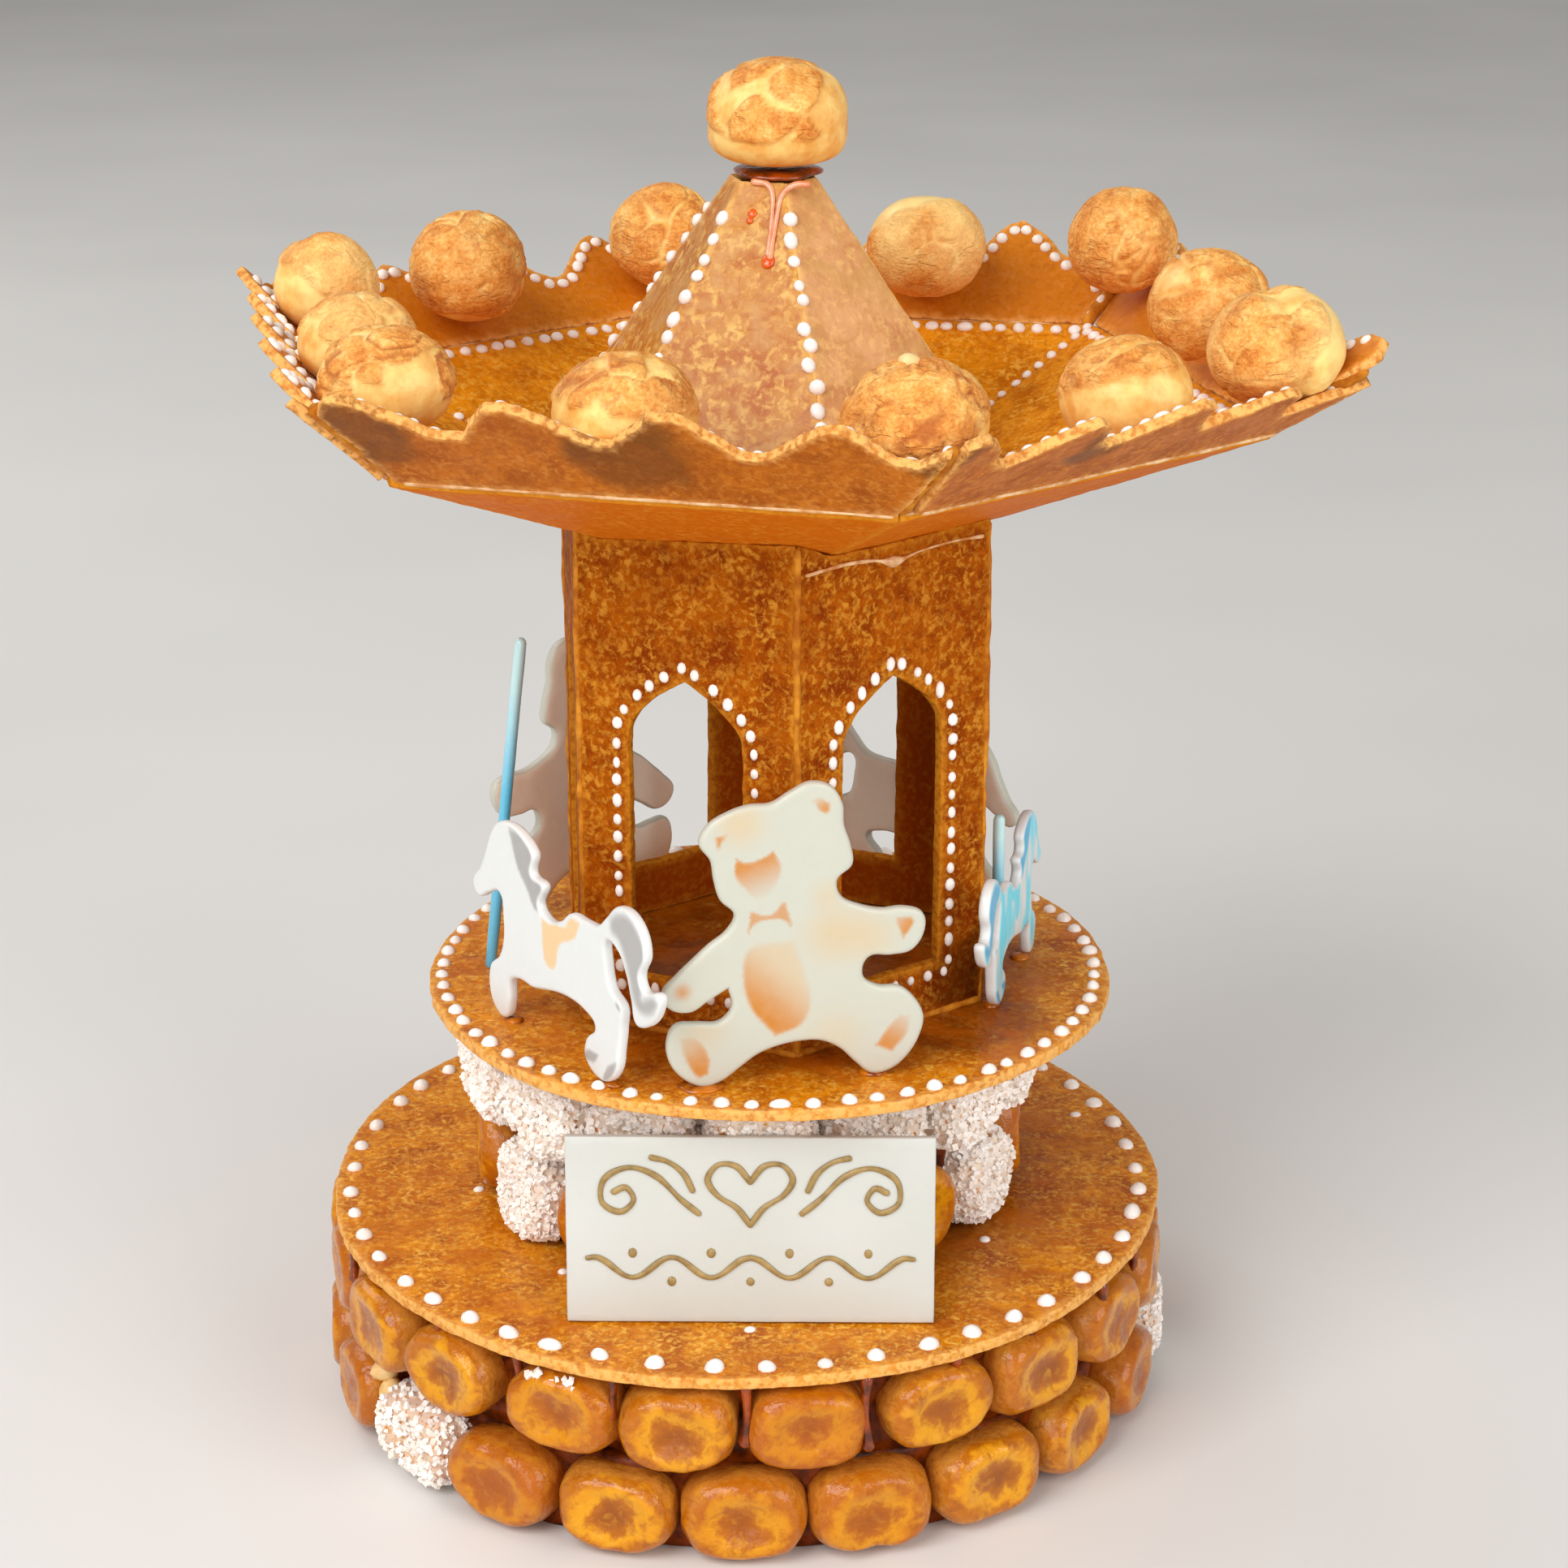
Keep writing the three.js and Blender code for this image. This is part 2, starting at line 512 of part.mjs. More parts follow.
// Middle of the whole footprint over the origin, resting on z = 0
const box = new THREE.Box3().setFromObject(part);
part.position.set(-(box.min.x + box.max.x) / 2, -(box.min.y + box.max.y) / 2, -box.min.z);

export default part;
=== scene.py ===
# Looks for a croquembouche built as a small merry-go-round.
# Shapes are worked out in millimetres, and make_piece turns them into metres.
import math

import bpy
import numpy as np
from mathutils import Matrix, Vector, geometry


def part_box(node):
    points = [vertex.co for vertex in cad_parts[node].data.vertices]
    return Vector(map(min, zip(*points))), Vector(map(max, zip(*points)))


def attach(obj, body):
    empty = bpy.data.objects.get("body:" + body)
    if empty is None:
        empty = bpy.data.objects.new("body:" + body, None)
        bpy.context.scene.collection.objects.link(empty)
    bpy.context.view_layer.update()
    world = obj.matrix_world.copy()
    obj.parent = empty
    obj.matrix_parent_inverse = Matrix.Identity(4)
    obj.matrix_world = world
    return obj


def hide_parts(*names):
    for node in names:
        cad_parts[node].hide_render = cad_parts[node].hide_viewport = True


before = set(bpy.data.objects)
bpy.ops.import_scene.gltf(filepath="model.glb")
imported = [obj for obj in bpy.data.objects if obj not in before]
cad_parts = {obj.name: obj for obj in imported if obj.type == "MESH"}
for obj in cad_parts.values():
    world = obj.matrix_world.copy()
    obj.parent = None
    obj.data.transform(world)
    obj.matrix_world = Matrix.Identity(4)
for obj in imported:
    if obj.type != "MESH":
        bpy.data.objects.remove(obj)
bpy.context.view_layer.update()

MM = 0.001
UP = np.array([0.0, 0.0, 1.0])
# The gap between pieces that rest on each other.
GAP = 0.3
# How thick the plates are.
NOUGATINE = 4.0
ROOF_PLATE = 3.4
FIGURE_PLATE = 4.0
PLAQUE_PLATE = 3.0
# How tall a roof chou's lower half is, as a share of its upper half.
BELLY = 0.92
# Outlines shorter than this are the feet of drops, and aren't part of a plate's shape.
SHORTEST_OUTLINE = 100.0
SIDES = range(1, 7)

# The camera stands in front of the middle and looks down on the cake.
CAMERA = {"place": (-1.2, -1066.6, 613.0), "pitch": 20.2, "lens": 74.53, "sensor": 36.0}


def middle(node):
    """Middle of a CAD node's box, in millimetres."""
    low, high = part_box(node)
    return (np.array(low) + np.array(high)) / 2 / MM


def size_of(node):
    """Width, depth and height of a CAD node's box."""
    low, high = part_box(node)
    return (np.array(high) - np.array(low)) / MM


def low_of(node):
    """Height of a CAD node's foot."""
    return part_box(node)[0].z / MM


DISC_TOP = low_of("tower_wall_1") - GAP
CAP = middle("caramel_cap")
# The part's own reference point, which the figures' places are measured from.
SHIFT = np.array([CAP[0] + 2.1, CAP[1], 0.0])


# Random relief

def number_source(seed):
    """The same small number source that places the choux in the tiers."""
    state = seed
    while True:
        state = (state * 1664525 + 1013904223) % 2 ** 32
        yield state / 2 ** 32


def hashed(cells, seed):
    """A random share from 0 to 1 for each cell of a grid."""
    mixed = (cells[..., 0] * 73856093) ^ (cells[..., 1] * 19349663) ^ (cells[..., 2] * 83492791)
    mixed = mixed ^ (seed * 374761393)
    mixed = (mixed ^ (mixed >> 13)) * 1274126177
    mixed = mixed ^ (mixed >> 16)
    return (mixed & 0xFFFF) / 0x10000


def lumps(points, size, seed=0):
    """Smooth random relief from -1 to 1, with bumps about one size wide."""
    place = np.asarray(points) / size
    corner = np.floor(place).astype(np.int64)
    share = place - corner
    share = share * share * (3 - 2 * share)
    total = np.zeros(len(place))
    for step in np.ndindex(2, 2, 2):
        weight = np.where(step, share, 1 - share).prod(axis=1)
        total += weight * hashed(corner + np.array(step), seed)
    return total * 2 - 1


def borders(points, size, seed):
    """Distance from the borders of a random cell pattern, in cell sizes, and each cell's number."""
    place = np.asarray(points) / size
    corner = np.floor(place).astype(np.int64)
    first = np.full(len(place), 9.0)
    second = np.full(len(place), 9.0)
    number = np.zeros(len(place))
    for step in np.ndindex(3, 3, 3):
        cell = corner + np.array(step) - 1
        spot = cell + np.stack([hashed(cell, seed + k) for k in range(3)], axis=1)
        distance = np.linalg.norm(place - spot, axis=1)
        closer = distance < first
        second = np.where(closer, first, np.minimum(second, distance))
        number = np.where(closer, hashed(cell, seed + 7), number)
        first = np.where(closer, distance, first)
    return second - first, number


def ramp_up(value, low, high):
    """Smooth step from 0 at low to 1 at high."""
    share = np.clip((value - low) / (high - low), 0, 1)
    return share * share * (3 - 2 * share)


# Points and meshes

def unit(vector):
    vector = np.asarray(vector, float)
    return vector / np.maximum(np.linalg.norm(vector, axis=-1, keepdims=True), 1e-9)


def columns(*coordinates):
    """Places, one per row, from their coordinates."""
    return np.stack(np.broadcast_arrays(*coordinates), axis=-1)


def angles(count):
    return np.arange(count) / count * 2 * math.pi


def circle(radius, height, sides):
    """A level ring of points round the upright axis."""
    turn = angles(sides)
    return columns(radius * np.cos(turn), radius * np.sin(turn), height)


def level(degrees):
    """The level direction at an angle from +X."""
    a = math.radians(degrees)
    return np.array([math.cos(a), math.sin(a), 0.0])


def triangles_of(faces):
    return [(f[0], f[i], f[i + 1]) for f in faces for i in range(1, len(f) - 1)]


def in_scene(name, data):
    made = bpy.data.objects.new(name, data)
    bpy.context.scene.collection.objects.link(made)
    return made


def make_piece(name, points, faces, material, slot, values=None, replaces=(), smooth=True):
    """A closed mesh that rides on the cake, its faces turned outwards."""
    points = np.asarray(points, float)
    faces = [list(map(int, f)) for f in faces]
    a, b, c = (points[np.array(triangles_of(faces))[:, k]] for k in range(3))
    if np.einsum("ij,ij->", a, np.cross(b, c)) < 0:
        faces = [f[::-1] for f in faces]
    mesh = bpy.data.meshes.new(name)
    mesh.from_pydata((points * MM).tolist(), [], faces)
    mesh.polygons.foreach_set("use_smooth", [smooth] * len(faces))
    for key, value in (values or {}).items():
        value = np.asarray(value, np.float32)
        if value.ndim == 1:
            mesh.attributes.new(key, "FLOAT", "POINT").data.foreach_set("value", value)
        else:
            colour = np.column_stack([value, np.ones(len(value), np.float32)])
            mesh.attributes.new(key, "FLOAT_COLOR", "POINT").data.foreach_set("color", colour.ravel())
    mesh.materials.append(material)
    mesh.validate()
    piece = in_scene(name, mesh)
    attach(piece, "root")
    if replaces:
        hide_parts(*replaces)


def joined(parts):
    """Several parts as one. Each is its points, its faces and, if it has them, its values."""
    points, faces, values, count = [], [], {}, 0
    for part_points, part_faces, *more in parts:
        points.append(part_points)
        faces.extend([[i + count for i in f] for f in part_faces])
        for each in more:
            for key, value in each.items():
                values.setdefault(key, []).append(value)
        count += len(part_points)
    return np.vstack(points), faces, {key: np.concatenate(value) for key, value in values.items()}


def make_joined(name, parts, material, slot="caramel", replaces=()):
    points, faces, values = joined(parts)
    make_piece(name, points, faces, material, slot, values, replaces)


def grid_faces(rings, sides):
    """Quads between rings of points that go all the way round."""
    faces = []
    for r in range(rings - 1):
        for s in range(sides):
            t = (s + 1) % sides
            faces.append([r * sides + s, r * sides + t, (r + 1) * sides + t, (r + 1) * sides + s])
    return faces


def capped_rings(rings):
    """Closed skin over rings of points, each (sides, 3), with a point at both ends."""
    sides = len(rings[0])
    points = np.vstack([*rings, rings[0].mean(axis=0), rings[-1].mean(axis=0)])
    faces = grid_faces(len(rings), sides)
    first, last, base = len(points) - 2, len(points) - 1, (len(rings) - 1) * sides
    for s in range(sides):
        t = (s + 1) % sides
        faces.append([first, t, s])
        faces.append([last, base + s, base + t])
    return points, faces


# Flat plates cut from the CAD nodes' outlines

class Flat:
    """A flat face of a plate: its outlines in its own plane, and the plane."""

    def __init__(self, loops, origin, out, up):
        self.out = unit(out)
        self.up = unit(up - self.out * (up @ self.out))
        self.across = np.cross(self.up, self.out)
        self.origin = np.asarray(origin, float)
        self.loops = [self.flatten(loop) for loop in loops]

    def flatten(self, points):
        away = np.asarray(points) - self.origin
        return np.stack([away @ self.across, away @ self.up], axis=-1)

    def at(self, place, height=0.0):
        place = np.asarray(place)
        height = np.broadcast_to(np.asarray(height, float), place.shape[:-1])
        flat = self.origin + place[..., :1] * self.across + place[..., 1:2] * self.up
        return flat + height[..., None] * self.out


def node_mesh(name):
    """Points of a CAD node with doubles merged, in millimetres, and its triangles."""
    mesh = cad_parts[name].data
    mesh.calc_loop_triangles()
    points = np.empty(len(mesh.vertices) * 3)
    mesh.vertices.foreach_get("co", points)
    corners = np.empty(len(mesh.loop_triangles) * 3, np.int32)
    mesh.loop_triangles.foreach_get("vertices", corners)
    points = points.reshape(-1, 3) / MM
    _, first, merged = np.unique(np.round(points, 2), axis=0, return_index=True, return_inverse=True)
    return points[first], merged.reshape(-1)[corners].reshape(-1, 3)


def chained(triangles):
    """Loops of point numbers round a patch of triangles."""
    edges = {(t[i], t[(i + 1) % 3]) for t in triangles.tolist() for i in range(3)}
    follow = {a: b for a, b in edges if (b, a) not in edges}
    loops = []
    while follow:
        start, at = follow.popitem()
        loop = [start]
        while at != start and at in follow:
            loop.append(at)
            at = follow.pop(at)
        loops.append(loop)
    return loops


def flat_side(name, toward, up=UP, origin=None):
    """The largest flat face of a CAD node that faces a direction, without small holes."""
    points, triangles = node_mesh(name)
    corners = points[triangles]
    cross = np.cross(corners[:, 1] - corners[:, 0], corners[:, 2] - corners[:, 0])
    area = np.linalg.norm(cross, axis=1)
    normal = unit(cross)
    best = None
    towards = np.flatnonzero(normal @ unit(toward) > 0.6)
    for seed in towards[np.argsort(-area[towards])][:8]:
        apart = np.abs((corners - corners[seed, 0]) @ normal[seed]).max(axis=1)
        group = (normal @ normal[seed] > 0.9) & (apart < 0.15)
        if best is None or area[group].sum() > area[best].sum():
            best = group
            out = normal[seed]
    loops = []
    for loop in chained(triangles[best]):
        line = points[loop]
        if np.linalg.norm(line - np.roll(line, 1, axis=0), axis=1).sum() > SHORTEST_OUTLINE:
            loops.append(line)
    loops.sort(key=lambda line: -np.ptp(line, axis=0).sum())
    if origin is None:
        origin = points[triangles[best].ravel()].mean(axis=0)
    origin = origin - out * ((origin - loops[0][0]) @ out)
    return Flat(loops, origin, out, np.asarray(up, float))


def bent(start, end, leave, arrive, step):
    """Points from one place almost to another, on a curve that leaves and arrives as told."""
    steps = max(1, round(np.linalg.norm(end - start) / step))
    t = (np.arange(steps) / steps)[:, None]
    return (start * (2 * t ** 3 - 3 * t ** 2 + 1) + leave * (t ** 3 - 2 * t ** 2 + t)
            + end * (3 * t ** 2 - 2 * t ** 3) + arrive * (t ** 3 - t ** 2))


def smooth_loop(loop, step, corner_degrees=38):
    """A closed outline with points about one step apart, curved between its corners."""
    loop = loop[np.linalg.norm(np.roll(loop, -1, axis=0) - loop, axis=1) > 0.05]
    after = np.roll(loop, -1, axis=0) - loop
    length = np.linalg.norm(after, axis=1)
    before = np.roll(after, 1, axis=0)
    turn = np.einsum("ij,ij->i", unit(before), unit(after))
    corner = turn < math.cos(math.radians(corner_degrees))
    chord = unit(before + after)
    result = []
    for i in range(len(loop)):
        j = (i + 1) % len(loop)
        ahead = unit(after[i])
        leave = (ahead if corner[i] else chord[i]) * length[i]
        arrive = (ahead if corner[j] else chord[j]) * length[i]
        result.append(bent(loop[i], loop[j], leave, arrive, step))
    return np.vstack(result)


def curved(points, step=1.0):
    """A smooth open line through a few points."""
    points = np.asarray(points, float)
    padded = np.vstack([2 * points[0] - points[1], points, 2 * points[-1] - points[-2]])
    result = []
    for before, start, end, after in zip(padded, padded[1:], padded[2:], padded[3:]):
        result.append(bent(start, end, (end - before) / 2, (after - start) / 2, step))
    return np.vstack([*result, points[-1]])


def inset(loop, distance):
    """The outline moved to the left of its direction, which is into the plate."""
    before = unit(loop - np.roll(loop, 1, axis=0))
    after = unit(np.roll(loop, -1, axis=0) - loop)
    left = np.stack([-(before + after)[:, 1], (before + after)[:, 0]], axis=1)
    square = np.maximum(1 + np.einsum("ij,ij->i", before, after), 0.6)
    return loop + left / square[:, None] * distance


def within(points, loops):
    """Which points lie inside the outlines, by counting crossings."""
    inside = np.zeros(len(points), bool)
    for loop in loops:
        ends = np.roll(loop, -1, axis=0)
        for (x0, y0), (x1, y1) in zip(loop, ends):
            if y0 != y1:
                crosses = (points[:, 1] < y0) != (points[:, 1] < y1)
                reach = x0 + (points[:, 1] - y0) * (x1 - x0) / (y1 - y0)
                inside ^= crosses & (points[:, 0] < reach)
    return inside


def filled(loops, step, seed):
    """Points and triangles that fill the outlines, the outlines' own points first."""
    rim = np.vstack(loops)
    links, count = [], 0
    for loop in loops:
        links += [(count + i, count + (i + 1) % len(loop)) for i in range(len(loop))]
        count += len(loop)
    low, high = rim.min(axis=0), rim.max(axis=0)
    across = np.arange(low[0], high[0], step)
    upward = np.arange(low[1], high[1], step * 0.87)
    x, y = np.meshgrid(across, upward)
    x = x + (np.arange(len(upward)) % 2)[:, None] * step / 2
    scattered = np.stack([x.ravel(), y.ravel()], axis=1)
    scattered += np.random.default_rng(seed).uniform(-0.22, 0.22, scattered.shape) * step
    scattered = scattered[within(scattered, loops)]
    clear = np.full(len(scattered), 1e9)
    for part in np.array_split(rim, max(1, len(rim) // 200)):
        apart = ((scattered[:, None] - part[None]) ** 2).sum(axis=2).min(axis=1)
        clear = np.minimum(clear, apart)
    scattered = scattered[clear > (0.62 * step) ** 2]
    every = np.vstack([rim, scattered])
    made = geometry.delaunay_2d_cdt([Vector(p) for p in every], links, [], 0, 1e-6)
    points = np.array([list(p) for p in made[0]])
    order = np.full(len(points), -1)
    spare = len(every)
    extra = []
    for i, source in enumerate(made[3]):
        if source:
            order[i] = source[0]
        else:
            order[i] = spare + len(extra)
            extra.append(points[i])
    triangles = order[np.array(made[2])]
    every = np.vstack([every, extra]) if extra else every
    return every, triangles[within(every[triangles].mean(axis=1), loops)]


def plate(node, kind, flat, thickness, material, slot, step=2.0, back_step=None, edge=0.5, relief=0.3,
          rough=0.25, seed=1, through=None, mitre=None, outline_step=None, colours=None, toast_and_painted_light=(),
          corner_degrees=38):
    """A plate with rounded, roughly cut edges and an uneven surface, in place of a node."""
    through = -flat.out * thickness if through is None else through
    outlines = [smooth_loop(loop, outline_step or step * 0.7, corner_degrees) for loop in flat.loops]
    for i, loop in enumerate(outlines):
        place = flat.at(loop)
        push = rough * (lumps(place, 6, seed) + 0.8 * lumps(place, 2.4, seed + 1))
        outlines[i] = loop + (inset(loop, 1) - loop) * push[:, None]
    # The rings round the plate's edge: how far in, and how deep.
    rings = [(edge, 0), (edge * 0.3, edge * 0.3), (0, edge), (0, thickness / 2),
             (0, thickness - edge), (edge * 0.3, thickness - edge * 0.3), (edge, thickness)]

    def solid(place, depth):
        share = depth / thickness
        if mitre:
            half, turn_in = mitre
            near_end = ramp_up(np.abs(place[:, 0]), half - 7, half)
            place = place.copy()
            place[:, 0] -= np.sign(place[:, 0]) * turn_in * share * near_end
        return flat.at(place) + share * through

    bands = [np.vstack([inset(loop, inward) for loop in outlines]) for inward, _ in rings]
    shrunk = [inset(loop, edge) for loop in outlines]
    front, front_faces = filled(shrunk, step, seed)
    back, back_faces = filled(shrunk, back_step or step, seed + 1)
    rim = len(bands[0])
    start = len(front) + len(back)
    points = np.vstack([solid(front, 0), solid(back, thickness)]
                       + [solid(band, depth) for (_, depth), band in list(zip(rings, bands))[1:-1]])
    ring_start = [0] + [start + i * rim for i in range(len(rings) - 2)] + [len(front)]
    faces = [list(f) for f in front_faces]
    faces += [[i + len(front) for i in f[::-1]] for f in back_faces]
    count = 0
    for loop in outlines:
        for i in range(len(loop)):
            j = (i + 1) % len(loop)
            for a, b in zip(ring_start, ring_start[1:]):
                faces.append([a + count + i, b + count + i, b + count + j, a + count + j])
        count += len(loop)
    cut = np.ones(len(points))
    cut[:start] = 0
    cut[:rim] = 0.6
    cut[len(front):len(front) + rim] = 0.6
    side = np.zeros(len(points))
    side[:len(front)] = 1
    side[len(front):start] = -1
    shape = lumps(points, 11, seed) * 0.6 + lumps(points, 4, seed + 3) * 0.5
    shape += lumps(points, 2, seed + 5) * 0.4
    points = points + flat.out * (relief * shape * side)[:, None]
    crumbs = lumps(points, 1.7, seed + 9) * rough * 0.5
    points[start:] += crumbs[start:, None] * unit(points[start:] - points.mean(axis=0))
    # Patches of changed colour near given spots: toast on the crown and discs, painted shadow on the discs
    # and tower, painted light on the pyramid's right side.
    toast_and_painted_light_mask = np.zeros(len(points))
    for spot, radius in toast_and_painted_light:
        away = np.linalg.norm(points - SHIFT - spot, axis=1) + 5 * lumps(points, 9, seed + 11)
        toast_and_painted_light_mask = np.maximum(toast_and_painted_light_mask, 1 - ramp_up(away, radius * 0.6, radius))
    values = {"cut": cut, "toast_and_painted_light_mask": toast_and_painted_light_mask, "inner": side < -0.5}
    if colours:
        values["paint"] = colours(flat.flatten(points), side)
    make_piece(f"{node}_{kind}", points, faces, material, slot, values, [node])


# Materials. Colours are screen colours, from 0 to 255.

def linear(colour):
    shares = np.array(colour) / 255
    return np.where(shares <= 0.04045, shares / 12.92, ((shares + 0.055) / 1.055) ** 2.4)


def begin(name):
    """Starts a material. The functions below add their nodes to the one begun last."""
    global tree
    material = bpy.data.materials.new(name)
    material.use_nodes = True
    tree = material.node_tree
    return material


def feed(socket, value):
    """Links a socket to another, or gives it a value."""
    if isinstance(value, bpy.types.NodeSocket):
        tree.links.new(value, socket)
    else:
        socket.default_value = value


def add(kind, inputs=(), **settings):
    """A shader node with its settings and what feeds its sockets."""
    node = tree.nodes.new("ShaderNode" + kind)
    for key, value in settings.items():
        setattr(node, key, value)
    for key, value in dict(inputs).items():
        feed(node.inputs[key], value)
    return node


def noise(size, detail=3.0, roughness=0.55, distortion=0.0, stretch=None):
    """Random share over the surface, with features about one size wide in millimetres."""
    place = add("TexCoord").outputs["Object"]
    if stretch:
        place = add("Mapping", {"Vector": place, "Scale": stretch}).outputs["Vector"]
    return add("TexNoise", {"Vector": place, "Scale": 1 / (size * MM), "Detail": detail,
                            "Roughness": roughness, "Distortion": distortion}).outputs[0]


def maths(operation, *values):
    return add("Math", enumerate(values), operation=operation).outputs[0]


def times(first, second):
    return maths("MULTIPLY", first, second)


def spread(value, low, high, start=0.0, end=1.0):
    """The value's range from low to high, drawn out from start to end."""
    return add("MapRange", {"Value": value, "From Min": low, "From Max": high,
                            "To Min": start, "To Max": end}).outputs["Result"]


def ramp(value, *stops):
    node = add("ValToRGB", {"Fac": value})
    elements = node.color_ramp.elements
    while len(elements) < len(stops):
        elements.new(0.5)
    for element, (place, colour) in zip(elements, stops):
        element.position = place
        element.color = (*linear(colour), 1.0)
    return node.outputs["Color"]


def mixed(share, first, second, strength=1.0):
    """The first colour with the second one over it, where the share says."""
    share = share if strength == 1 else times(share, strength)
    first, second = (colour if isinstance(colour, bpy.types.NodeSocket) else (*linear(colour), 1.0)
                     for colour in (first, second))
    return add("Mix", {0: share, 6: first, 7: second}, data_type="RGBA").outputs[2]


def stored(name, output="Fac"):
    """What the piece's points carry under a name."""
    return add("Attribute", attribute_name=name).outputs[output]


def surface(material, colour, roughness, bump=None, depth=0.3, coat=0.0, coat_roughness=0.1, specular=0.5):
    """Fills in a material's main shader. Depth of the bumps is in millimetres."""
    shader = tree.nodes["Principled BSDF"]
    for key, value in (("Base Color", colour), ("Roughness", roughness), ("Specular IOR Level", specular),
                       ("Coat Weight", coat), ("Coat Roughness", coat_roughness)):
        feed(shader.inputs[key], value)
    if bump:
        normal = add("Bump", {"Height": bump, "Strength": 1.0, "Distance": depth * MM}).outputs["Normal"]
        feed(shader.inputs["Normal"], normal)
        feed(shader.inputs["Coat Normal"], normal)
    return material


def nougatine_look(name, dark, body, flake, crumb, flakes=0.5, gloss=0.3, coat=0.0, depth=0.3, fleck=2.3,
                   toast_and_painted_light=None, toast_and_light_strength=0.8, mottle_and_painted_sheen=None, inner=None, faintness=0.3, specular=0.22):
    """Caramel with shredded almonds: flakes in a mottled body, paler where it is cut."""
    material = begin(name)
    mottle = noise(13, 4, 0.6, 0.4)
    colour = mixed(spread(mottle, 0.34, 0.56), dark, body)
    shred = noise(fleck, 3, 0.55, 0.5)
    share = times(spread(shred, 0.47, 0.63), spread(noise(19, 2), 0.34, 0.6, 0.35, 1.0))
    colour = mixed(share, colour, flake, flakes)
    deep = spread(noise(fleck * 1.3, 3, 0.6, 0.8), 0.49, 0.37)
    colour = mixed(deep, colour, dark, 0.6)
    colour = mixed(spread(noise(0.8, 2), 0.6, 0.7), colour, flake, 0.3)
    # Patches in the colour given for them: toast, painted shadow and painted light, as the plates mark them.
    if toast_and_painted_light:
        patches = times(stored("toast_and_painted_light_mask"), spread(mottle, 0.3, 0.6, 0.5, 1.0))
        colour = mixed(patches, colour, toast_and_painted_light, toast_and_light_strength)
    # Large soft blotches: mottling on the discs, a painted sheen of reflected light on the pyramid.
    if mottle_and_painted_sheen:
        colour = mixed(spread(noise(17, 4, 0.65, 0.6), 0.48, 0.62), colour, mottle_and_painted_sheen, 0.6)
    if inner:
        faint = mixed(share, inner, flake, faintness)
        faint = mixed(deep, faint, dark, faintness * 0.4)
        colour = mixed(stored("inner"), colour, faint)
    broken = spread(noise(2.6, 3, 0.6), 0.38, 0.58, 0.25, 1.0)
    colour = mixed(times(stored("cut"), broken), colour, crumb)
    height = maths("MULTIPLY_ADD", shred, 0.8, times(mottle, 1.2))
    rough = spread(mottle, 0.3, 0.7, gloss + 0.1, gloss - 0.06)
    rough = maths("MULTIPLY_ADD", stored("cut"), 0.3, rough)
    return surface(material, colour, rough, height, depth, coat, 0.1, specular)


def baked_look():
    """Caramel-dipped choux: a brown middle on the base, an amber ring, golden sides."""
    material = begin("dipped_choux")
    wander = maths("SUBTRACT", noise(9, 4, 0.6), 0.5)
    ring = maths("MULTIPLY_ADD", wander, 1.1, stored("ring"))
    colour = ramp(times(ring, 0.5), (0.0, (148, 78, 10)), (0.12, (164, 90, 10)), (0.2, (184, 106, 8)),
                  (0.27, (228, 158, 14)), (0.35, (220, 144, 10)), (0.43, (184, 104, 6)),
                  (0.5, (190, 110, 18)), (0.6, (202, 132, 50)), (0.8, (176, 98, 26)))
    colour = mixed(spread(noise(4.5, 3, 0.6, 0.8), 0.52, 0.68), colour, (146, 74, 16), 0.5)
    colour = mixed(spread(noise(6, 3, 0.6, 0.5), 0.54, 0.7), colour, (232, 166, 40), 0.5)
    colour = mixed(stored("tone"), colour, (176, 84, 10), 0.5)
    grain = noise(1.8, 2)
    colour = mixed(times(stored("sugar"), spread(grain, 0.3, 0.45)), colour, (238, 224, 208))
    height = maths("MULTIPLY_ADD", grain, 0.3, noise(6, 3))
    rough = spread(noise(7, 2), 0.3, 0.7, 0.34, 0.2)
    rough = maths("MULTIPLY_ADD", stored("sugar"), 0.3, rough)
    return surface(material, colour, rough, height, 0.8, 0.4, 0.05, 0.18)


def crust_look():
    """Baked crackled crust: golden brown and grainy, with smooth cream in its cracks."""
    material = begin("craquelin")
    mottle = noise(8, 3, 0.6)
    grain = noise(1.2, 3, 0.65)
    total = maths("MULTIPLY_ADD", grain, 0.5, times(mottle, 0.7))
    golden = ramp(spread(total, 0.44, 0.76), (0.0, (208, 122, 38)), (0.3, (230, 150, 60)),
                  (0.65, (244, 178, 88)), (1.0, (254, 208, 124)))
    fold = maths("SUBTRACT", noise(3.4, 2, 0.5, 0.5, stretch=(0.4, 0.5, 1.0)), 0.5)
    line = times(spread(maths("ABSOLUTE", fold), 0.07, 0.0), spread(noise(9, 2), 0.4, 0.6))
    golden = mixed(line, golden, (190, 106, 34), 0.5)
    golden = mixed(stored("toast_and_painted_light_mask"), golden, (172, 84, 18), 0.75)
    cream = ramp(mottle, (0.36, (240, 174, 82)), (0.62, (255, 216, 130)))
    colour = mixed(stored("crust"), cream, golden)
    # Painted light: the roof choux are paler on their right sides.
    colour = mixed(stored("pale"), colour, (255, 224, 146), 0.6)
    height = times(maths("SUBTRACT", grain, times(line, 0.5)), stored("crust"))
    return surface(material, colour, spread(stored("crust"), 0.0, 1.0, 0.42, 0.7), height, 0.5)


def blotched_look(name, dark, light, blotch, ends, roughness, grain=None, *finish):
    """Two shades in blotches, over a fine grain. Blotch and grain are a size and a detail."""
    material = begin(name)
    colour = ramp(noise(*blotch), (ends[0], dark), (ends[1], light))
    return surface(material, colour, roughness, noise(*grain) if grain else None, *finish)


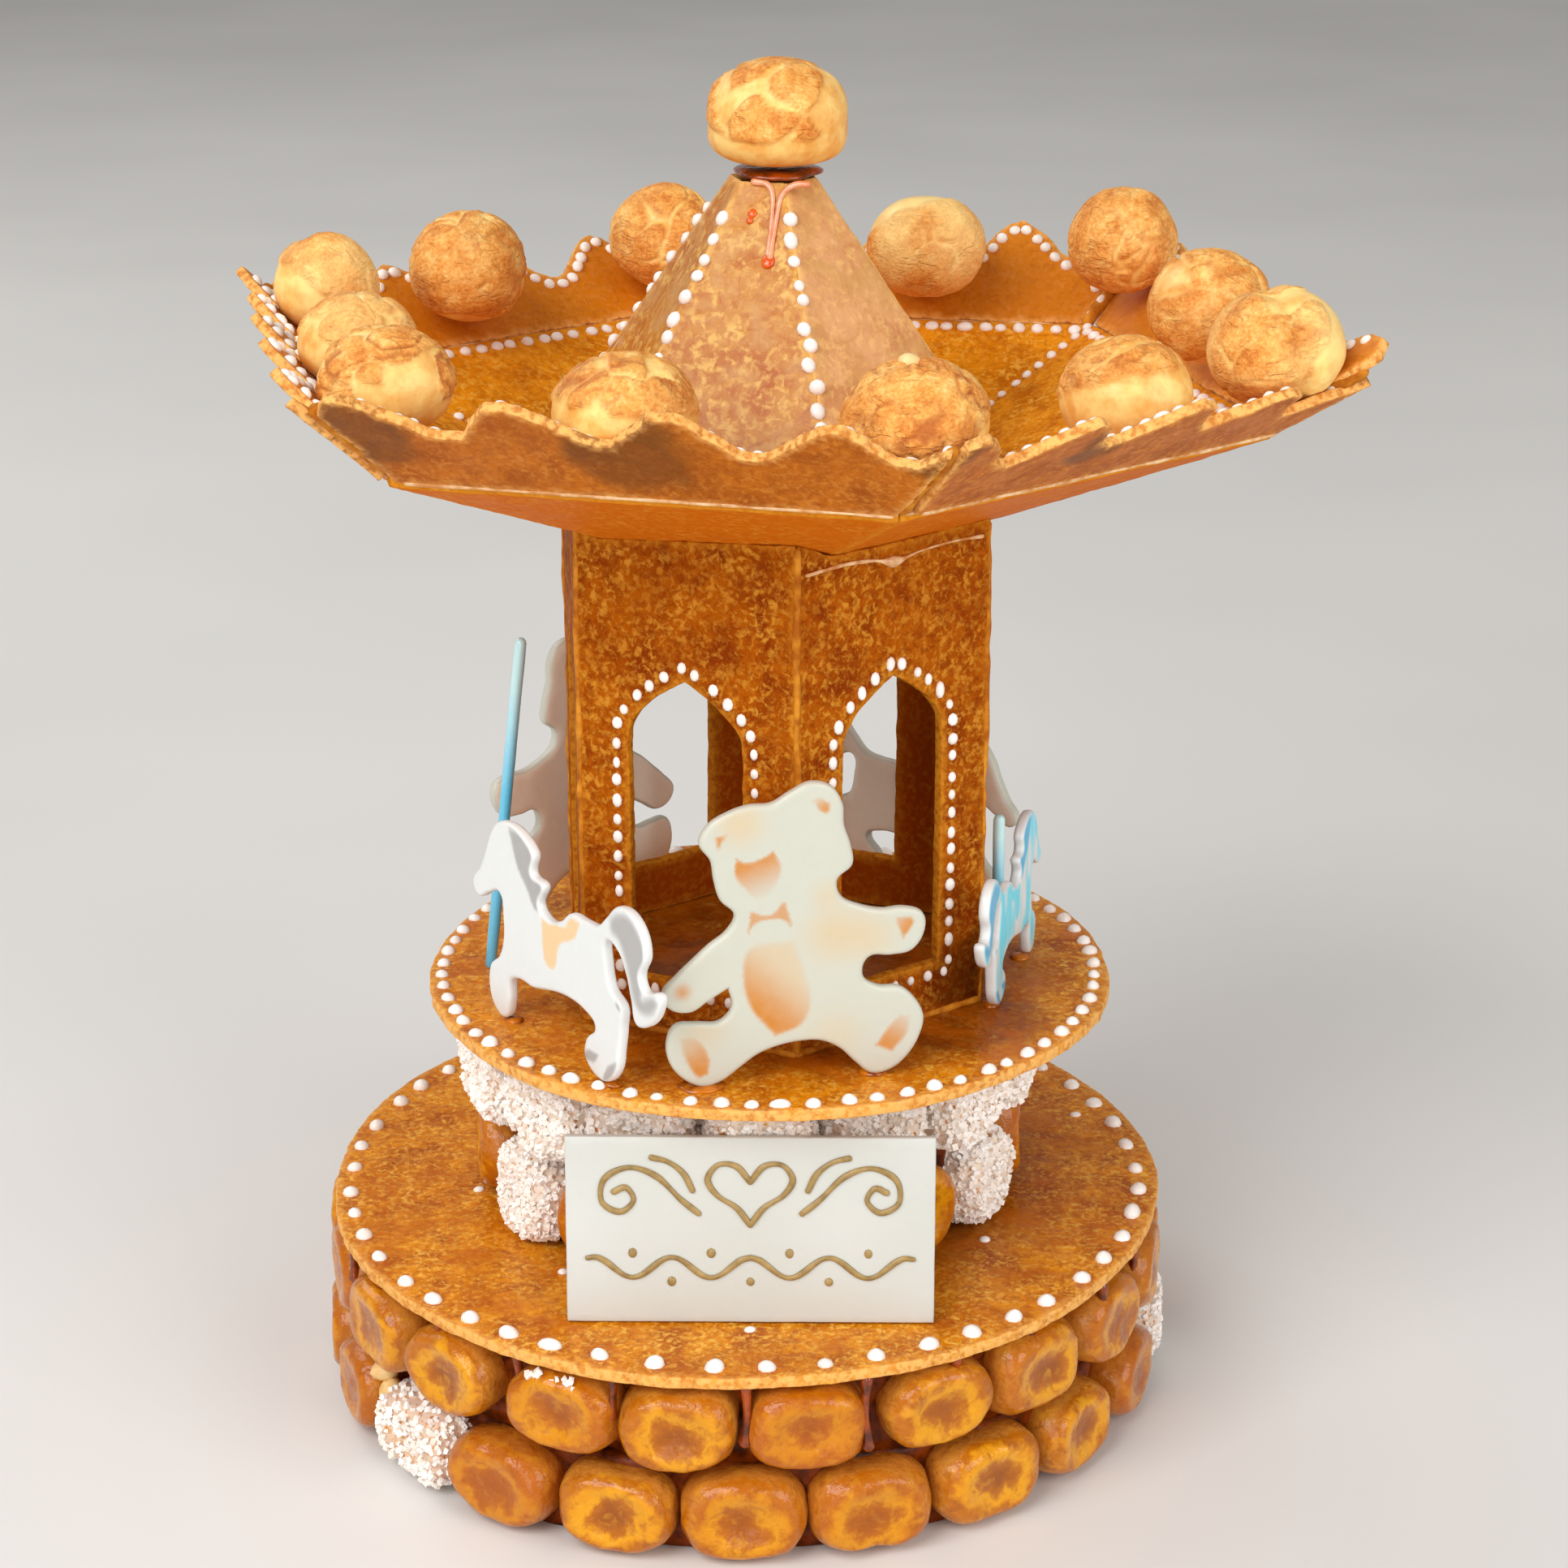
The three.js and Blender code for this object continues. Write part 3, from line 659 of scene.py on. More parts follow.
def caramel_look(name, dark, light, roughness=0.1, coat=0.5, specular=0.4):
    return blotched_look(name, dark, light, (6, 2), (0.35, 0.65), roughness, (3, 2), 0.25, coat, 0.05,
                         specular)


def chocolate_look():
    """White chocolate with airbrushed colour that its points carry."""
    material = begin("painted_chocolate")
    tint = spread(noise(4, 3), 0.3, 0.7, 0.0, 0.1)
    colour = mixed(tint, stored("paint", "Color"), (214, 206, 184))
    return surface(material, colour, spread(noise(9, 2), 0.3, 0.7, 0.34, 0.46), noise(2.4, 3), 0.08, 0.12)


def pole_look():
    """Boiled sugar, blue below and pearly above."""
    material = begin("blue_sugar")
    height = maths("MULTIPLY_ADD", noise(4, 2), 0.12, stored("height"))
    colour = ramp(height, (0.05, (92, 176, 208)), (0.6, (96, 196, 232)), (0.95, (196, 234, 236)))
    return surface(material, colour, 0.2, noise(2.5, 2), 0.1, 0.6)


# The discs' patch colour stands for toast and for painted shadow of the figures, tower and tiers.
DISC_LOOK = nougatine_look(
    "nougatine_disc", (168, 80, 2), (220, 134, 10), (250, 192, 78), (240, 180, 98), flakes=0.8,
    coat=0.09, toast_and_painted_light=(120, 42, 2), toast_and_light_strength=0.86, mottle_and_painted_sheen=(190, 96, 4), specular=0.12)
# The tower's patch colour is painted shade at the foot of its right corner.
WALL_LOOK = nougatine_look(
    "nougatine_tower", (130, 50, 6), (166, 82, 8), (208, 142, 46), (206, 132, 34), flakes=0.85,
    gloss=0.5, toast_and_painted_light=(66, 22, 2), inner=(158, 66, 4), specular=0.01)
FLOOR_LOOK = nougatine_look(
    "nougatine_tray", (194, 104, 6), (232, 144, 16), (246, 184, 70), (222, 142, 40), flakes=0.8,
    gloss=0.5, inner=(212, 106, 12), specular=0.03)
CROWN_LOOK = nougatine_look(
    "nougatine_crown", (162, 80, 14), (192, 104, 20), (216, 138, 54), (246, 184, 104), flakes=0.6,
    gloss=0.42, depth=0.2, toast_and_painted_light=(106, 60, 22), inner=(208, 122, 18), faintness=0.7, specular=0.12)
# The pyramid's pale patch colour is painted light on its sides to the right.
PYRAMID_LOOK = nougatine_look(
    "nougatine_pyramid", (174, 90, 16), (192, 124, 34), (230, 184, 92), (232, 180, 100), flakes=0.9,
    gloss=0.36, coat=0.12, fleck=3.2, mottle_and_painted_sheen=(200, 148, 84), toast_and_painted_light=(244, 192, 142), toast_and_light_strength=0.56)
CHOUX_LOOK = baked_look()
CRUST_LOOK = crust_look()
CARAMEL_LOOK = caramel_look("caramel", (84, 26, 2), (166, 68, 4))
DARK_CARAMEL_LOOK = caramel_look("dark_caramel", (62, 20, 2), (128, 52, 4), 0.35, 0.05, 0.12)
# Pinkish white for the poured strand: painted highlights on clear caramel.
POURED_CARAMEL_HIGHLIGHT_LOOK = caramel_look("poured_caramel_painted_highlight", (214, 122, 70), (234, 164, 126))
RED_CARAMEL_LOOK = caramel_look("red_caramel", (206, 66, 10), (232, 100, 26))
AMBER_LOOK = caramel_look("amber_caramel", (168, 90, 10), (216, 142, 40), 0.45, 0.0, 0.1)
POOL_LOOK = caramel_look("foot_caramel", (122, 48, 2), (206, 116, 12), 0.12, 0.4, 0.3)
CLOUDY_LOOK = caramel_look("cloudy_caramel", (196, 124, 46), (240, 206, 158), 0.3, 0.3)
CREAM_LOOK = caramel_look("cream", (226, 178, 108), (244, 212, 150), 0.5, 0.0)
SUGAR_LOOK = blotched_look("pearl_sugar", (244, 230, 214), (255, 251, 247), (3.5, 3), (0.3, 0.6), 0.5,
                           (0.5, 2), 0.12)
ICING_LOOK = blotched_look("white_icing", (244, 234, 224), (252, 250, 246), (8, 2), (0.3, 0.7), 0.38,
                           (1.2, 2), 0.08, 0.15)
CHOCOLATE_LOOK = chocolate_look()
POLE_LOOK = pole_look()
PIPING_LOOK = blotched_look("gold_piping", (132, 104, 50), (172, 142, 84), (4, 3), (0.3, 0.7), 0.4,
                            (1.5, 2), 0.1, 0.2)
FLOOR_PAINT = blotched_look("pale_floor", (222, 220, 217), (230, 228, 225), (500, 2), (0.3, 0.7), 0.7)


# Discs, tower, tray, crown and pyramid

def outward(node):
    """Level direction from the roof's middle to a node."""
    away = middle(node) - SHIFT
    away[2] = 0
    return unit(away)


# How far up or down the outer faces of the plates look.
OUTER_LIFT = {"tower_wall": 0.0, "crown_panel": -0.8, "pyramid_side": 0.5}


def outer_face(kind, k):
    """The outer face of plate k of a kind."""
    node = f"{kind}_{k}"
    return flat_side(node, outward(node) + OUTER_LIFT[kind] * UP)


def tray_floor(k):
    return flat_side(f"tray_floor_{k}", UP)


def crown_inside(k):
    node = f"crown_panel_{k}"
    return flat_side(node, UP - outward(node))


# Dark patches: the place, and how wide the patch is. On the discs they are partly toast and partly painted
# shadow of the figures, tower and tiers; at the tower's foot they are painted shade; on the crown they are
# toast.
DISC_TOAST_AND_SHADOW = [((4, -10, 150), 101), ((0, 4, 68), 116), ((52, -40, 150), 46)]
TOWER_FOOT_SHADE = [((62, -26, 160), 30)]
CROWN_TOASTED = [((-129, -120, 376), 22), ((-46, -141, 375), 24), ((46, -172, 382), 17),
                 ((96, -118, 372), 12)]


def make_discs():
    for seed, node in enumerate(("large_disc", "small_disc"), start=21):
        flat = flat_side(node, UP, up=np.array([0.0, 1.0, 0.0]))
        plate(node, "nougatine", flat, NOUGATINE, DISC_LOOK, "nougatine", step=2.5, back_step=4,
              relief=0.35, rough=0.35, seed=seed, toast_and_painted_light=DISC_TOAST_AND_SHADOW)


def make_tower():
    for k in SIDES:
        flat = outer_face("tower_wall", k)
        half = np.abs(flat.loops[0][:, 0]).max()
        plate(f"tower_wall_{k}", "nougatine", flat, NOUGATINE, WALL_LOOK, "nougatine", step=2.3,
              back_step=3.5, seed=30 + k, mitre=(half, NOUGATINE * math.tan(math.pi / 6)),
              toast_and_painted_light=TOWER_FOOT_SHADE)


def make_roof():
    for k in SIDES:
        floor, under = tray_floor(k), flat_side(f"tray_floor_{k}", -UP)
        drop = (under.origin - floor.origin) @ under.out / under.out[2]
        plate(f"tray_floor_{k}", "nougatine", floor, NOUGATINE, FLOOR_LOOK, "nougatine", step=2.6,
              seed=40 + k, through=UP * drop)
        plate(f"crown_panel_{k}", "nougatine", outer_face("crown_panel", k), ROOF_PLATE, CROWN_LOOK,
              "crown_nougatine", step=2.2, rough=0.6, seed=50 + k, toast_and_painted_light=CROWN_TOASTED, outline_step=1.2)
        # The pyramid's sides to the right are painted paler: painted light from the right.
        node = f"pyramid_side_{k}"
        painted_light_patch = [(middle(node) - SHIFT, 90)] if outward(node)[0] > 0.5 else ()
        plate(node, "nougatine", outer_face("pyramid_side", k), ROOF_PLATE, PYRAMID_LOOK,
              "pale_nougatine", step=2.2, back_step=7, rough=0.3, seed=60 + k, toast_and_painted_light=painted_light_patch)


# Choux of the tiers

BASE_CENTRE = SHIFT - [14.2, 0, 0]
UPPER_CENTRE = SHIFT - [13, 0, 0]
# Each row: its node, middle, reach, height, how many choux, the way the first one faces, and its seed.
ROWS = [
    ("base_row_lower", BASE_CENTRE, 152.5, 33.2, 21, -106, 11),
    ("base_row_upper", BASE_CENTRE, 152.5, 33.2, 21, -97.5, 12),
    ("upper_row_lower", UPPER_CENTRE, 100, 38.2, 15, -122.4, 13),
    ("upper_row_upper", UPPER_CENTRE, 103.5, 38.2, 15, -110.4, 14),
]
# The sugared choux: their row, the way they face (None for the whole row), and how full.
SUGARED = [("upper_row_upper", None, 0.9), ("upper_row_lower", -146.4, 0.9), ("upper_row_lower", -26.4, 0.9),
           ("base_row_lower", -140.3, 0.6), ("base_row_lower", -3.1, 0.8)]
# Places drawn on a chou's skin, nibs kept on a fully covered one, and how far back from its front.
NIB_PLACES = 3200
NIBS_A_CHOU = 820
NIB_DEPTH = 18
# A few nibs that fell on the base's upper choux: the way they face, height and number.
STRAY_NIBS = [(-116.6, 61.5, 11), (-113.0, 61.5, 18)]
# Profile of a chou that lies with its flat base outwards: share of its width, and place along it.
LYING_PROFILE = [
    (0.14, -1.1), (0.28, -0.8), (0.4, -0.6), (0.52, -0.1), (0.62, 0.3), (0.71, 0.35), (0.79, -0.1),
    (0.86, -1.2), (0.92, -3.0), (0.965, -5.4), (0.99, -8.3), (1.0, -11.2), (0.985, -15.0),
    (0.93, -19.5), (0.82, -23.5), (0.62, -26.6), (0.34, -27.8),
]


def lying_chou(half_width, half_height, seed):
    """Points of one chou with its base towards +X, its faces, and how far out its rings are."""
    random = np.random.default_rng(seed)
    turn = angles(40)
    cos, sin = np.cos(turn), np.sin(turn)
    square = random.uniform(2.1, 3.0)
    swell = (np.abs(cos) ** square + np.abs(sin) ** square) ** (-1 / square)
    off_side, off_up = random.uniform(-0.14, 0.14, 2)
    rings, ring_value = [], []
    for r, x in LYING_PROFILE:
        across, upward = r * cos * swell, r * sin * swell
        rings.append(columns(x, across * half_width, upward * half_height))
        seen = np.hypot(across - off_side, upward - off_up)
        ring_value.append(seen if x > -4 else np.full(len(seen), 1 - x / 28))
    points, faces = capped_rings(rings)
    ring_value = np.concatenate([*ring_value, [0.0, 2.0]])
    shifted = points + [seed * 71.3, 0, 0]
    swelling = lumps(shifted, 17, seed) * 1.5 + lumps(shifted, 7, seed) * 0.6 + lumps(shifted, 3, seed) * 0.25
    away = unit(points - [-14, 0, 0])
    return points + away * (swelling - 0.9)[:, None], faces, ring_value


def turned(points, degrees):
    """Points turned round the upright axis."""
    out = level(degrees)
    return points @ np.stack([out, np.cross(UP, out), UP])


def caramel_wall(centre, radius, height, seed):
    """The caramel that fills the space behind and between a row's choux."""
    rings = []
    for z in np.linspace(0.4, height - 0.4, 8):
        ring = circle(radius, z, sides=150)
        push = 2.2 * lumps(ring, 9, seed) + lumps(ring, 4, seed)
        ring[:, :2] *= 1 + (push / radius)[:, None]
        rings.append(ring + centre)
    return capped_rings(rings)


def sugared(node, degrees):
    """How fully a chou is covered in nib sugar, from 0 to 1."""
    for row, angle, cover in SUGARED:
        apart = 0 if angle is None else abs((degrees - angle + 180) % 360 - 180)
        if row == node and apart < 7:
            return cover
    return 0.0


def make_rows():
    """Makes the four rows, and gives the sugared choux: how full, the way they face, and their skin."""
    sugary = []
    for node, centre, radius, height, count, first, seed in ROWS:
        centre = centre + UP * low_of(node)
        draw = number_source(seed)
        random = np.random.default_rng(seed)
        pitch = 360 / count
        half_width = (radius - 11) * math.sin(math.radians(pitch / 2)) * 1.02
        parts = []
        for i in range(count):
            degrees = first + pitch * (i + 0.12 * (next(draw) - 0.5))
            size = 0.95 + 0.05 * next(draw)
            reach = radius - 2.5 * next(draw)
            points, faces, ring = lying_chou(half_width * size, height / 2 * size, seed * 31 + i)
            points = points + [reach, 0, height / 2 * (size - 1) * 0.9 + height / 2]
            points[:, 2] = np.clip(points[:, 2], 0.1, height - 0.1)
            points = turned(points, degrees) + centre
            sugar = sugared(node, degrees)
            every = np.ones(len(points))
            values = {"ring": ring, "sugar": every * sugar, "tone": every * random.random()}
            parts.append((points, faces, values))
            if sugar:
                sugary.append((sugar, degrees, points, faces))
        make_joined(node + "_choux", parts, CHOUX_LOOK, "dipped_choux", [node])
        wall = caramel_wall(centre, radius - 14, height, seed)
        make_piece(node + "_caramel", *wall, DARK_CARAMEL_LOOK, "caramel")
    return sugary


# Small things scattered over a surface

NIB_CORNERS = np.array(list(np.ndindex(2, 2, 2))) * 2.0 - 1
NIB_FACES = [[0, 1, 3, 2], [4, 6, 7, 5], [0, 4, 5, 1], [2, 3, 7, 6], [0, 2, 6, 4], [1, 5, 7, 3]]


def random_turns(count, random):
    """Evenly spread rotation matrices."""
    w, x, y, z = unit(random.normal(size=(count, 4))).T
    return np.stack([columns(1 - 2 * (y * y + z * z), 2 * (x * y - w * z), 2 * (x * z + w * y)),
                     columns(2 * (x * y + w * z), 1 - 2 * (x * x + z * z), 2 * (y * z - w * x)),
                     columns(2 * (x * z - w * y), 2 * (y * z + w * x), 1 - 2 * (x * x + y * y))], axis=1)


def copies(template, faces, turns, places):
    """One mesh of many turned copies of a template."""
    points = np.einsum("nij,kj->nki", turns, template) + places[:, None]
    count = len(template)
    all_faces = (np.arange(len(places)) * count)[:, None, None] + np.array(faces)[None]
    return points.reshape(-1, 3), all_faces.reshape(-1, len(faces[0])).tolist()


def surface_samples(points, faces, count, random):
    """Random places on a skin of quads and triangles, with the way each one faces."""
    triangles = np.array(triangles_of(faces))
    a, b, c = (points[triangles[:, k]] for k in range(3))
    cross = np.cross(b - a, c - a)
    area = np.linalg.norm(cross, axis=1)
    chosen = random.choice(len(triangles), count, p=area / area.sum())
    u, v = random.random((2, count))
    flip = u + v > 1
    u, v = np.where(flip, 1 - u, u)[:, None], np.where(flip, 1 - v, v)[:, None]
    place = a[chosen] * (1 - u - v) + b[chosen] * u + c[chosen] * v
    return place, unit(cross[chosen])


def nibs(places, normals, sizes, random):
    """Broken sugar nibs of six shapes, half sunk into a surface."""
    parts = []
    kind = random.integers(0, 6, len(places))
    for k in range(6):
        here = kind == k
        count = here.sum()
        template = NIB_CORNERS * random.uniform(0.26, 0.5, NIB_CORNERS.shape)
        stretch = sizes[here, None, None] * random.uniform(0.75, 1.25, (count, 1, 3))
        turns = random_turns(count, random) * stretch
        parts.append(copies(template, NIB_FACES, turns, places[here] + normals[here] * 0.4))
    return joined(parts)[:2]


def make_nib_sugar(sugary):
    """Nib sugar pressed onto some of the choux, and a few stray nibs."""
    random = np.random.default_rng(5)
    places, normals = [], []
    for cover, degrees, points, faces in sugary:
        place, normal = surface_samples(points, faces, NIB_PLACES, random)
        normal *= np.sign(np.einsum("ij,ij->i", normal, place - points.mean(axis=0)))[:, None]
        out = level(degrees)
        shown = (place @ out > (points @ out).max() - NIB_DEPTH) & (normal @ out > -0.2)
        count = int(NIBS_A_CHOU * cover)
        places.append(place[shown][:count])
        normals.append(normal[shown][:count])
    for degrees, z, spots in STRAY_NIBS:
        out = level(degrees)
        near = random.normal(0, 2.6, (spots, 3)) * [1, 1, 0.7]
        centre = BASE_CENTRE + out * 149.5 + UP * z
        places.append(centre + near[:, :1] * np.cross(UP, out) + near[:, 2:] * UP)
        normals.append(np.tile(out, (spots, 1)))
    places, normals = np.vstack(places), np.vstack(normals)
    points, faces = nibs(places, normals, random.uniform(1.5, 2.6, len(places)), random)
    points[:, 2] = np.maximum(points[:, 2], 0.05)
    make_piece("nib_sugar", points, faces, SUGAR_LOOK, "white_chocolate", smooth=False)


# Rings of a piped drop: share of its radius, and share of its height.
DROP_PROFILE = [(1.0, -0.2), (1.02, 0.2), (0.86, 0.56), (0.56, 0.82), (0.22, 0.96)]


def make_drops(name, spots, material=ICING_LOOK, slot="white_chocolate", tip=1.05, stretch=1.0):
    """Piped drops. Each spot is its place, the way out, the way along, radius and height."""
    random = np.random.default_rng(len(spots))
    template, faces = capped_rings([circle(r, h, sides=9) for r, h in DROP_PROFILE])
    template[-1, 2] = tip
    parts = []
    for place, out, along, radius, height in spots:
        out = unit(out)
        along = unit(along - out * (along @ out))
        lean = random.uniform(-0.18, 0.18, 2)
        long = radius * stretch * random.choice([1.0, 1.06, 1.16, 1.4], p=[0.4, 0.35, 0.2, 0.05])
        wide = radius * random.uniform(0.9, 1.06)
        tall = height * random.uniform(0.85, 1.15)
        shape = template.copy()
        shape[:, :2] += shape[:, 2:] * lean
        axes = np.stack([along * long, np.cross(out, along) * wide, out * tall])
        parts.append((shape @ axes + place, faces))
    make_joined(name, parts, material, slot)


def spaced(line, pitch, seed, closed=False, jitter=0.12):
    """Places about one pitch apart along a line of points, with the way along it."""
    random = np.random.default_rng(seed)
    line = np.vstack([line, line[:1]]) if closed else line
    step = np.linalg.norm(np.diff(line, axis=0), axis=1)
    run = np.concatenate([[0], np.cumsum(step)])
    count = max(1, int(run[-1] / pitch))
    at = (np.arange(count) + 0.5 + random.uniform(-jitter, jitter, count)) * run[-1] / count
    place, ahead, behind = (columns(*(np.interp(at + shift, run, axis) for axis in line.T))
                            for shift in (0, 0.5, -0.5))
    return place, unit(ahead - behind)


def drop_row(line, pitch, seed, out, radius, height):
    """Spots for equal drops along a line."""
    return [(place, out, along, radius, height) for place, along in zip(*spaced(line, pitch, seed))]


def disc_drops():
    """The rows of drops near the discs' rims, where the CAD solids have theirs."""
    for node, radius, height in (("large_disc", 3.1, 3.2), ("small_disc", 2.6, 2.6)):
        points, _ = node_mesh(node)
        centre = middle(node) * [1, 1, 0]
        random = np.random.default_rng(3)
        spots = []
        for tip in points[points[:, 2] > points[:, 2].max() - 0.05]:
            size = random.uniform(0.86, 1.1)
            spots.append((tip - UP * height, UP, np.cross(UP, tip - centre), radius * size, height * size))
        make_drops(node + "_drops", spots)


def window_drops():
    """Drops round the windows, but not on the left wall, where the photograph shows none."""
    spots = []
    random = np.random.default_rng(7)
    for k in (1, 2, 3, 4, 6):
        flat = outer_face("tower_wall", k)
        for loop in flat.loops[1:]:
            place, _ = spaced(inset(smooth_loop(loop, 2), 4.4), 6.6, k, closed=True)
            for p in flat.at(place):
                size = random.uniform(1.4, 1.85)
                spots.append((p, flat.out, flat.up, size, size * 0.8))
    make_drops("tower_window_drops", spots, stretch=1.2)


def clear_of_choux(point):
    """Whether a place on the roof is outside the choux."""
    for name in (*ROOF_CHOUX, "chou_top"):
        reach = (point - middle(name)) / (size_of(name) / 2 * 0.97)
        if reach @ reach < 1:
            return False
    return True


def crown_corner(k):
    """The low and the high end of the corner between two crown panels, and the way it faces."""
    ends = []
    for one, other in ((k, k % 6 + 1), (k % 6 + 1, k)):
        panel = crown_inside(one)
        loop = panel.loops[0]
        foot = loop[loop[:, 1] < loop[:, 1].min() + 1]
        way = np.sign((middle(f"crown_panel_{other}") - middle(f"crown_panel_{one}")) @ panel.across)
        corner = [line[np.argmax(line[:, 0] * way)] for line in (foot, loop)]
        ends.append([*panel.at(corner), panel.out])
    low, high, out = np.add(*ends)
    return low / 2, low / 2 + (high - low) / 2 * 0.9, unit(out)


def roof_drops():
    """Drops along the tray's rim and seams, inside the crown's scallops, and up its corners."""
    spots = []
    for k in SIDES:
        floor, panel = tray_floor(k), crown_inside(k)
        corners = floor.at(floor.loops[0])
        corners = corners[np.argsort(-corners[:, 2])]
        outer, inner = corners[:2], corners[-2:]
        if (outer[1] - outer[0]) @ (inner[1] - inner[0]) < 0:
            inner = inner[::-1]
        spots += drop_row(outer + unit(inner - outer) * 5.0, 6.6, 70 + k, floor.out, 2.2, 1.9)
        end = 0 if np.cross(outer[0], outer[1])[2] < 0 else 1
        seam = np.stack([inner[end], outer[end]]) + UP * 0.4
        spots += drop_row(seam, 6.6, 80 + k, floor.out, 1.8, 1.6)
        loop = smooth_loop(panel.loops[0], 1.5)
        low, high = loop.min(axis=0), loop.max(axis=0)
        for p, along in zip(*spaced(inset(loop, 3.4), 5.8, 90 + k, closed=True)):
            if p[1] > low[1] + 12 and low[0] + 9 < p[0] < high[0] - 9:
                spots.append((panel.at(p), panel.out, panel.at(along) - panel.origin, 2.15, 1.8))
        *ends, out = crown_corner(k)
        spots += drop_row(np.stack(ends) + out * 1.2, 6.2, 110 + k, out, 1.9, 1.6)
    make_drops("roof_drops", [spot for spot in spots if clear_of_choux(spot[0] + spot[1] * 1.5)])


# The pyramid's ridges, as its CAD solids have them: the middle, the way the first one faces, and how
# far out and how high their ends are.
PYRAMID = {"x": -3.5, "first": -76.0, "foot": (94.0, 322.0), "top": (14.7, 433.1)}


def ridge_drops():
    """Drops piped down the pyramid's ridges, all but the one at the right."""
    spots = []
    random = np.random.default_rng(44)
    for k in (0, 2, 3, 4, 5):
        away = level(PYRAMID["first"] + 60 * k)
        foot, top = (SHIFT + [PYRAMID["x"], 0, z] + away * radius
                     for radius, z in (PYRAMID["foot"], PYRAMID["top"]))
        line = foot + (top - foot) * np.array([[0.12], [0.93]])
        out = away + UP * 0.75
        for p, along in zip(*spaced(line, 7.2, 100 + k, jitter=0.22)):
            size = random.uniform(0.85, 1.2)
            place = p - out * 0.4 + np.cross(UP, away) * random.uniform(-1.2, 0.6)
            spots.append((place, out, along, 2.2 * size, 2.0 * size))
    make_drops("pyramid_drops", spots)


# Choux on the roof

# Each chou: its middle, half width and half height as in the solids, then the way its crust faces,
# how far down the crust begins, how wide its cracks are, and what else is special.
ROOF_CHOUX = {f"chou_rim_{name}": spot for name, *spot in (
    ("front_left", (-47.5, -115, 381), 23.6, 19.5, (0.1, 0.1, 1), 0.1, 1.0, {"wrinkles": 0.8}),
    ("front_right", (38.8, -134, 383), 23.6, 20, (-0.5, -0.3, 0.8), -0.3, 0.1, {"wrinkles": 1.3}),
    ("right_front", (107.6, -65, 374), 22.8, 20, (-0.2, 0.2, 1), 0.3, 0.5, {"wrinkles": 0.8}),
    ("right_corner", (158.5, -39, 384), 23.5, 20, (-1, -0.3, 0.2), -0.2, 0.4,
     {"split": (1, 0.35, 0.1), "pale": 0.7}),
    ("right_side", (142.6, 9.5, 386.5), 21.8, 21, (-0.5, -0.2, 0.6), -0.3, 0.5, {}),
    ("right_back", (122.2, 101.7, 392), 20.6, 20.5, (0, -0.5, 0.6), -0.6, 0.2, {}),
    ("back_right", (51.8, 119, 386.5), 22, 20.5, (0.2, -0.3, -0.4), -0.5, 0.2,
     {"wrinkles": 0.2, "pale": 0.8}),
    ("back_left", (-44, 134, 387), 21, 20.5, (0.2, -0.4, 0.6), -0.5, 0.4, {"wrinkles": 0.2}),
    ("left_back", (-111.8, 79, 386.6), 21.8, 21, (0.1, -0.3, 0.5), -0.4, 0.4, {}),
    ("left_corner", (-156, 30, 390), 18.6, 18, (0.6, 0.2, 1), 0.0, 0.4, {"wrinkles": 0.2, "pale": 0.7}),
    ("left_side", (-137, -40, 385.5), 20.6, 18, (0.3, -0.2, 1), 0.1, 1.0, {"pale": 0.4}),
    ("left_front", (-123, -84, 383), 21.8, 18.5, (-0.1, -0.4, 0.9), -0.05, 0.5, {"wrinkles": 1.2}),
)}


def tray_planes():
    """Planes of the tray's floor and crown that the choux rest on."""
    return [(flat.origin, flat.out) for k in SIDES for flat in (tray_floor(k), crown_inside(k))]


def resting(points, planes):
    """Points pushed out of the planes they rest on, each plane in turn."""
    points = points.copy()
    for origin, out in planes * 3:
        depth = GAP - (points - origin) @ out
        points += np.maximum(depth, 0)[:, None] * out
    return points


def ball(rings, sides):
    """Directions all over a ball, and its faces."""
    tilts = np.linspace(0, math.pi, rings + 2)[1:-1]
    points, faces = capped_rings([circle(math.sin(t), math.cos(t), sides) for t in tilts])
    points[-2], points[-1] = (0, 0, 1), (0, 0, -1)
    return points, faces


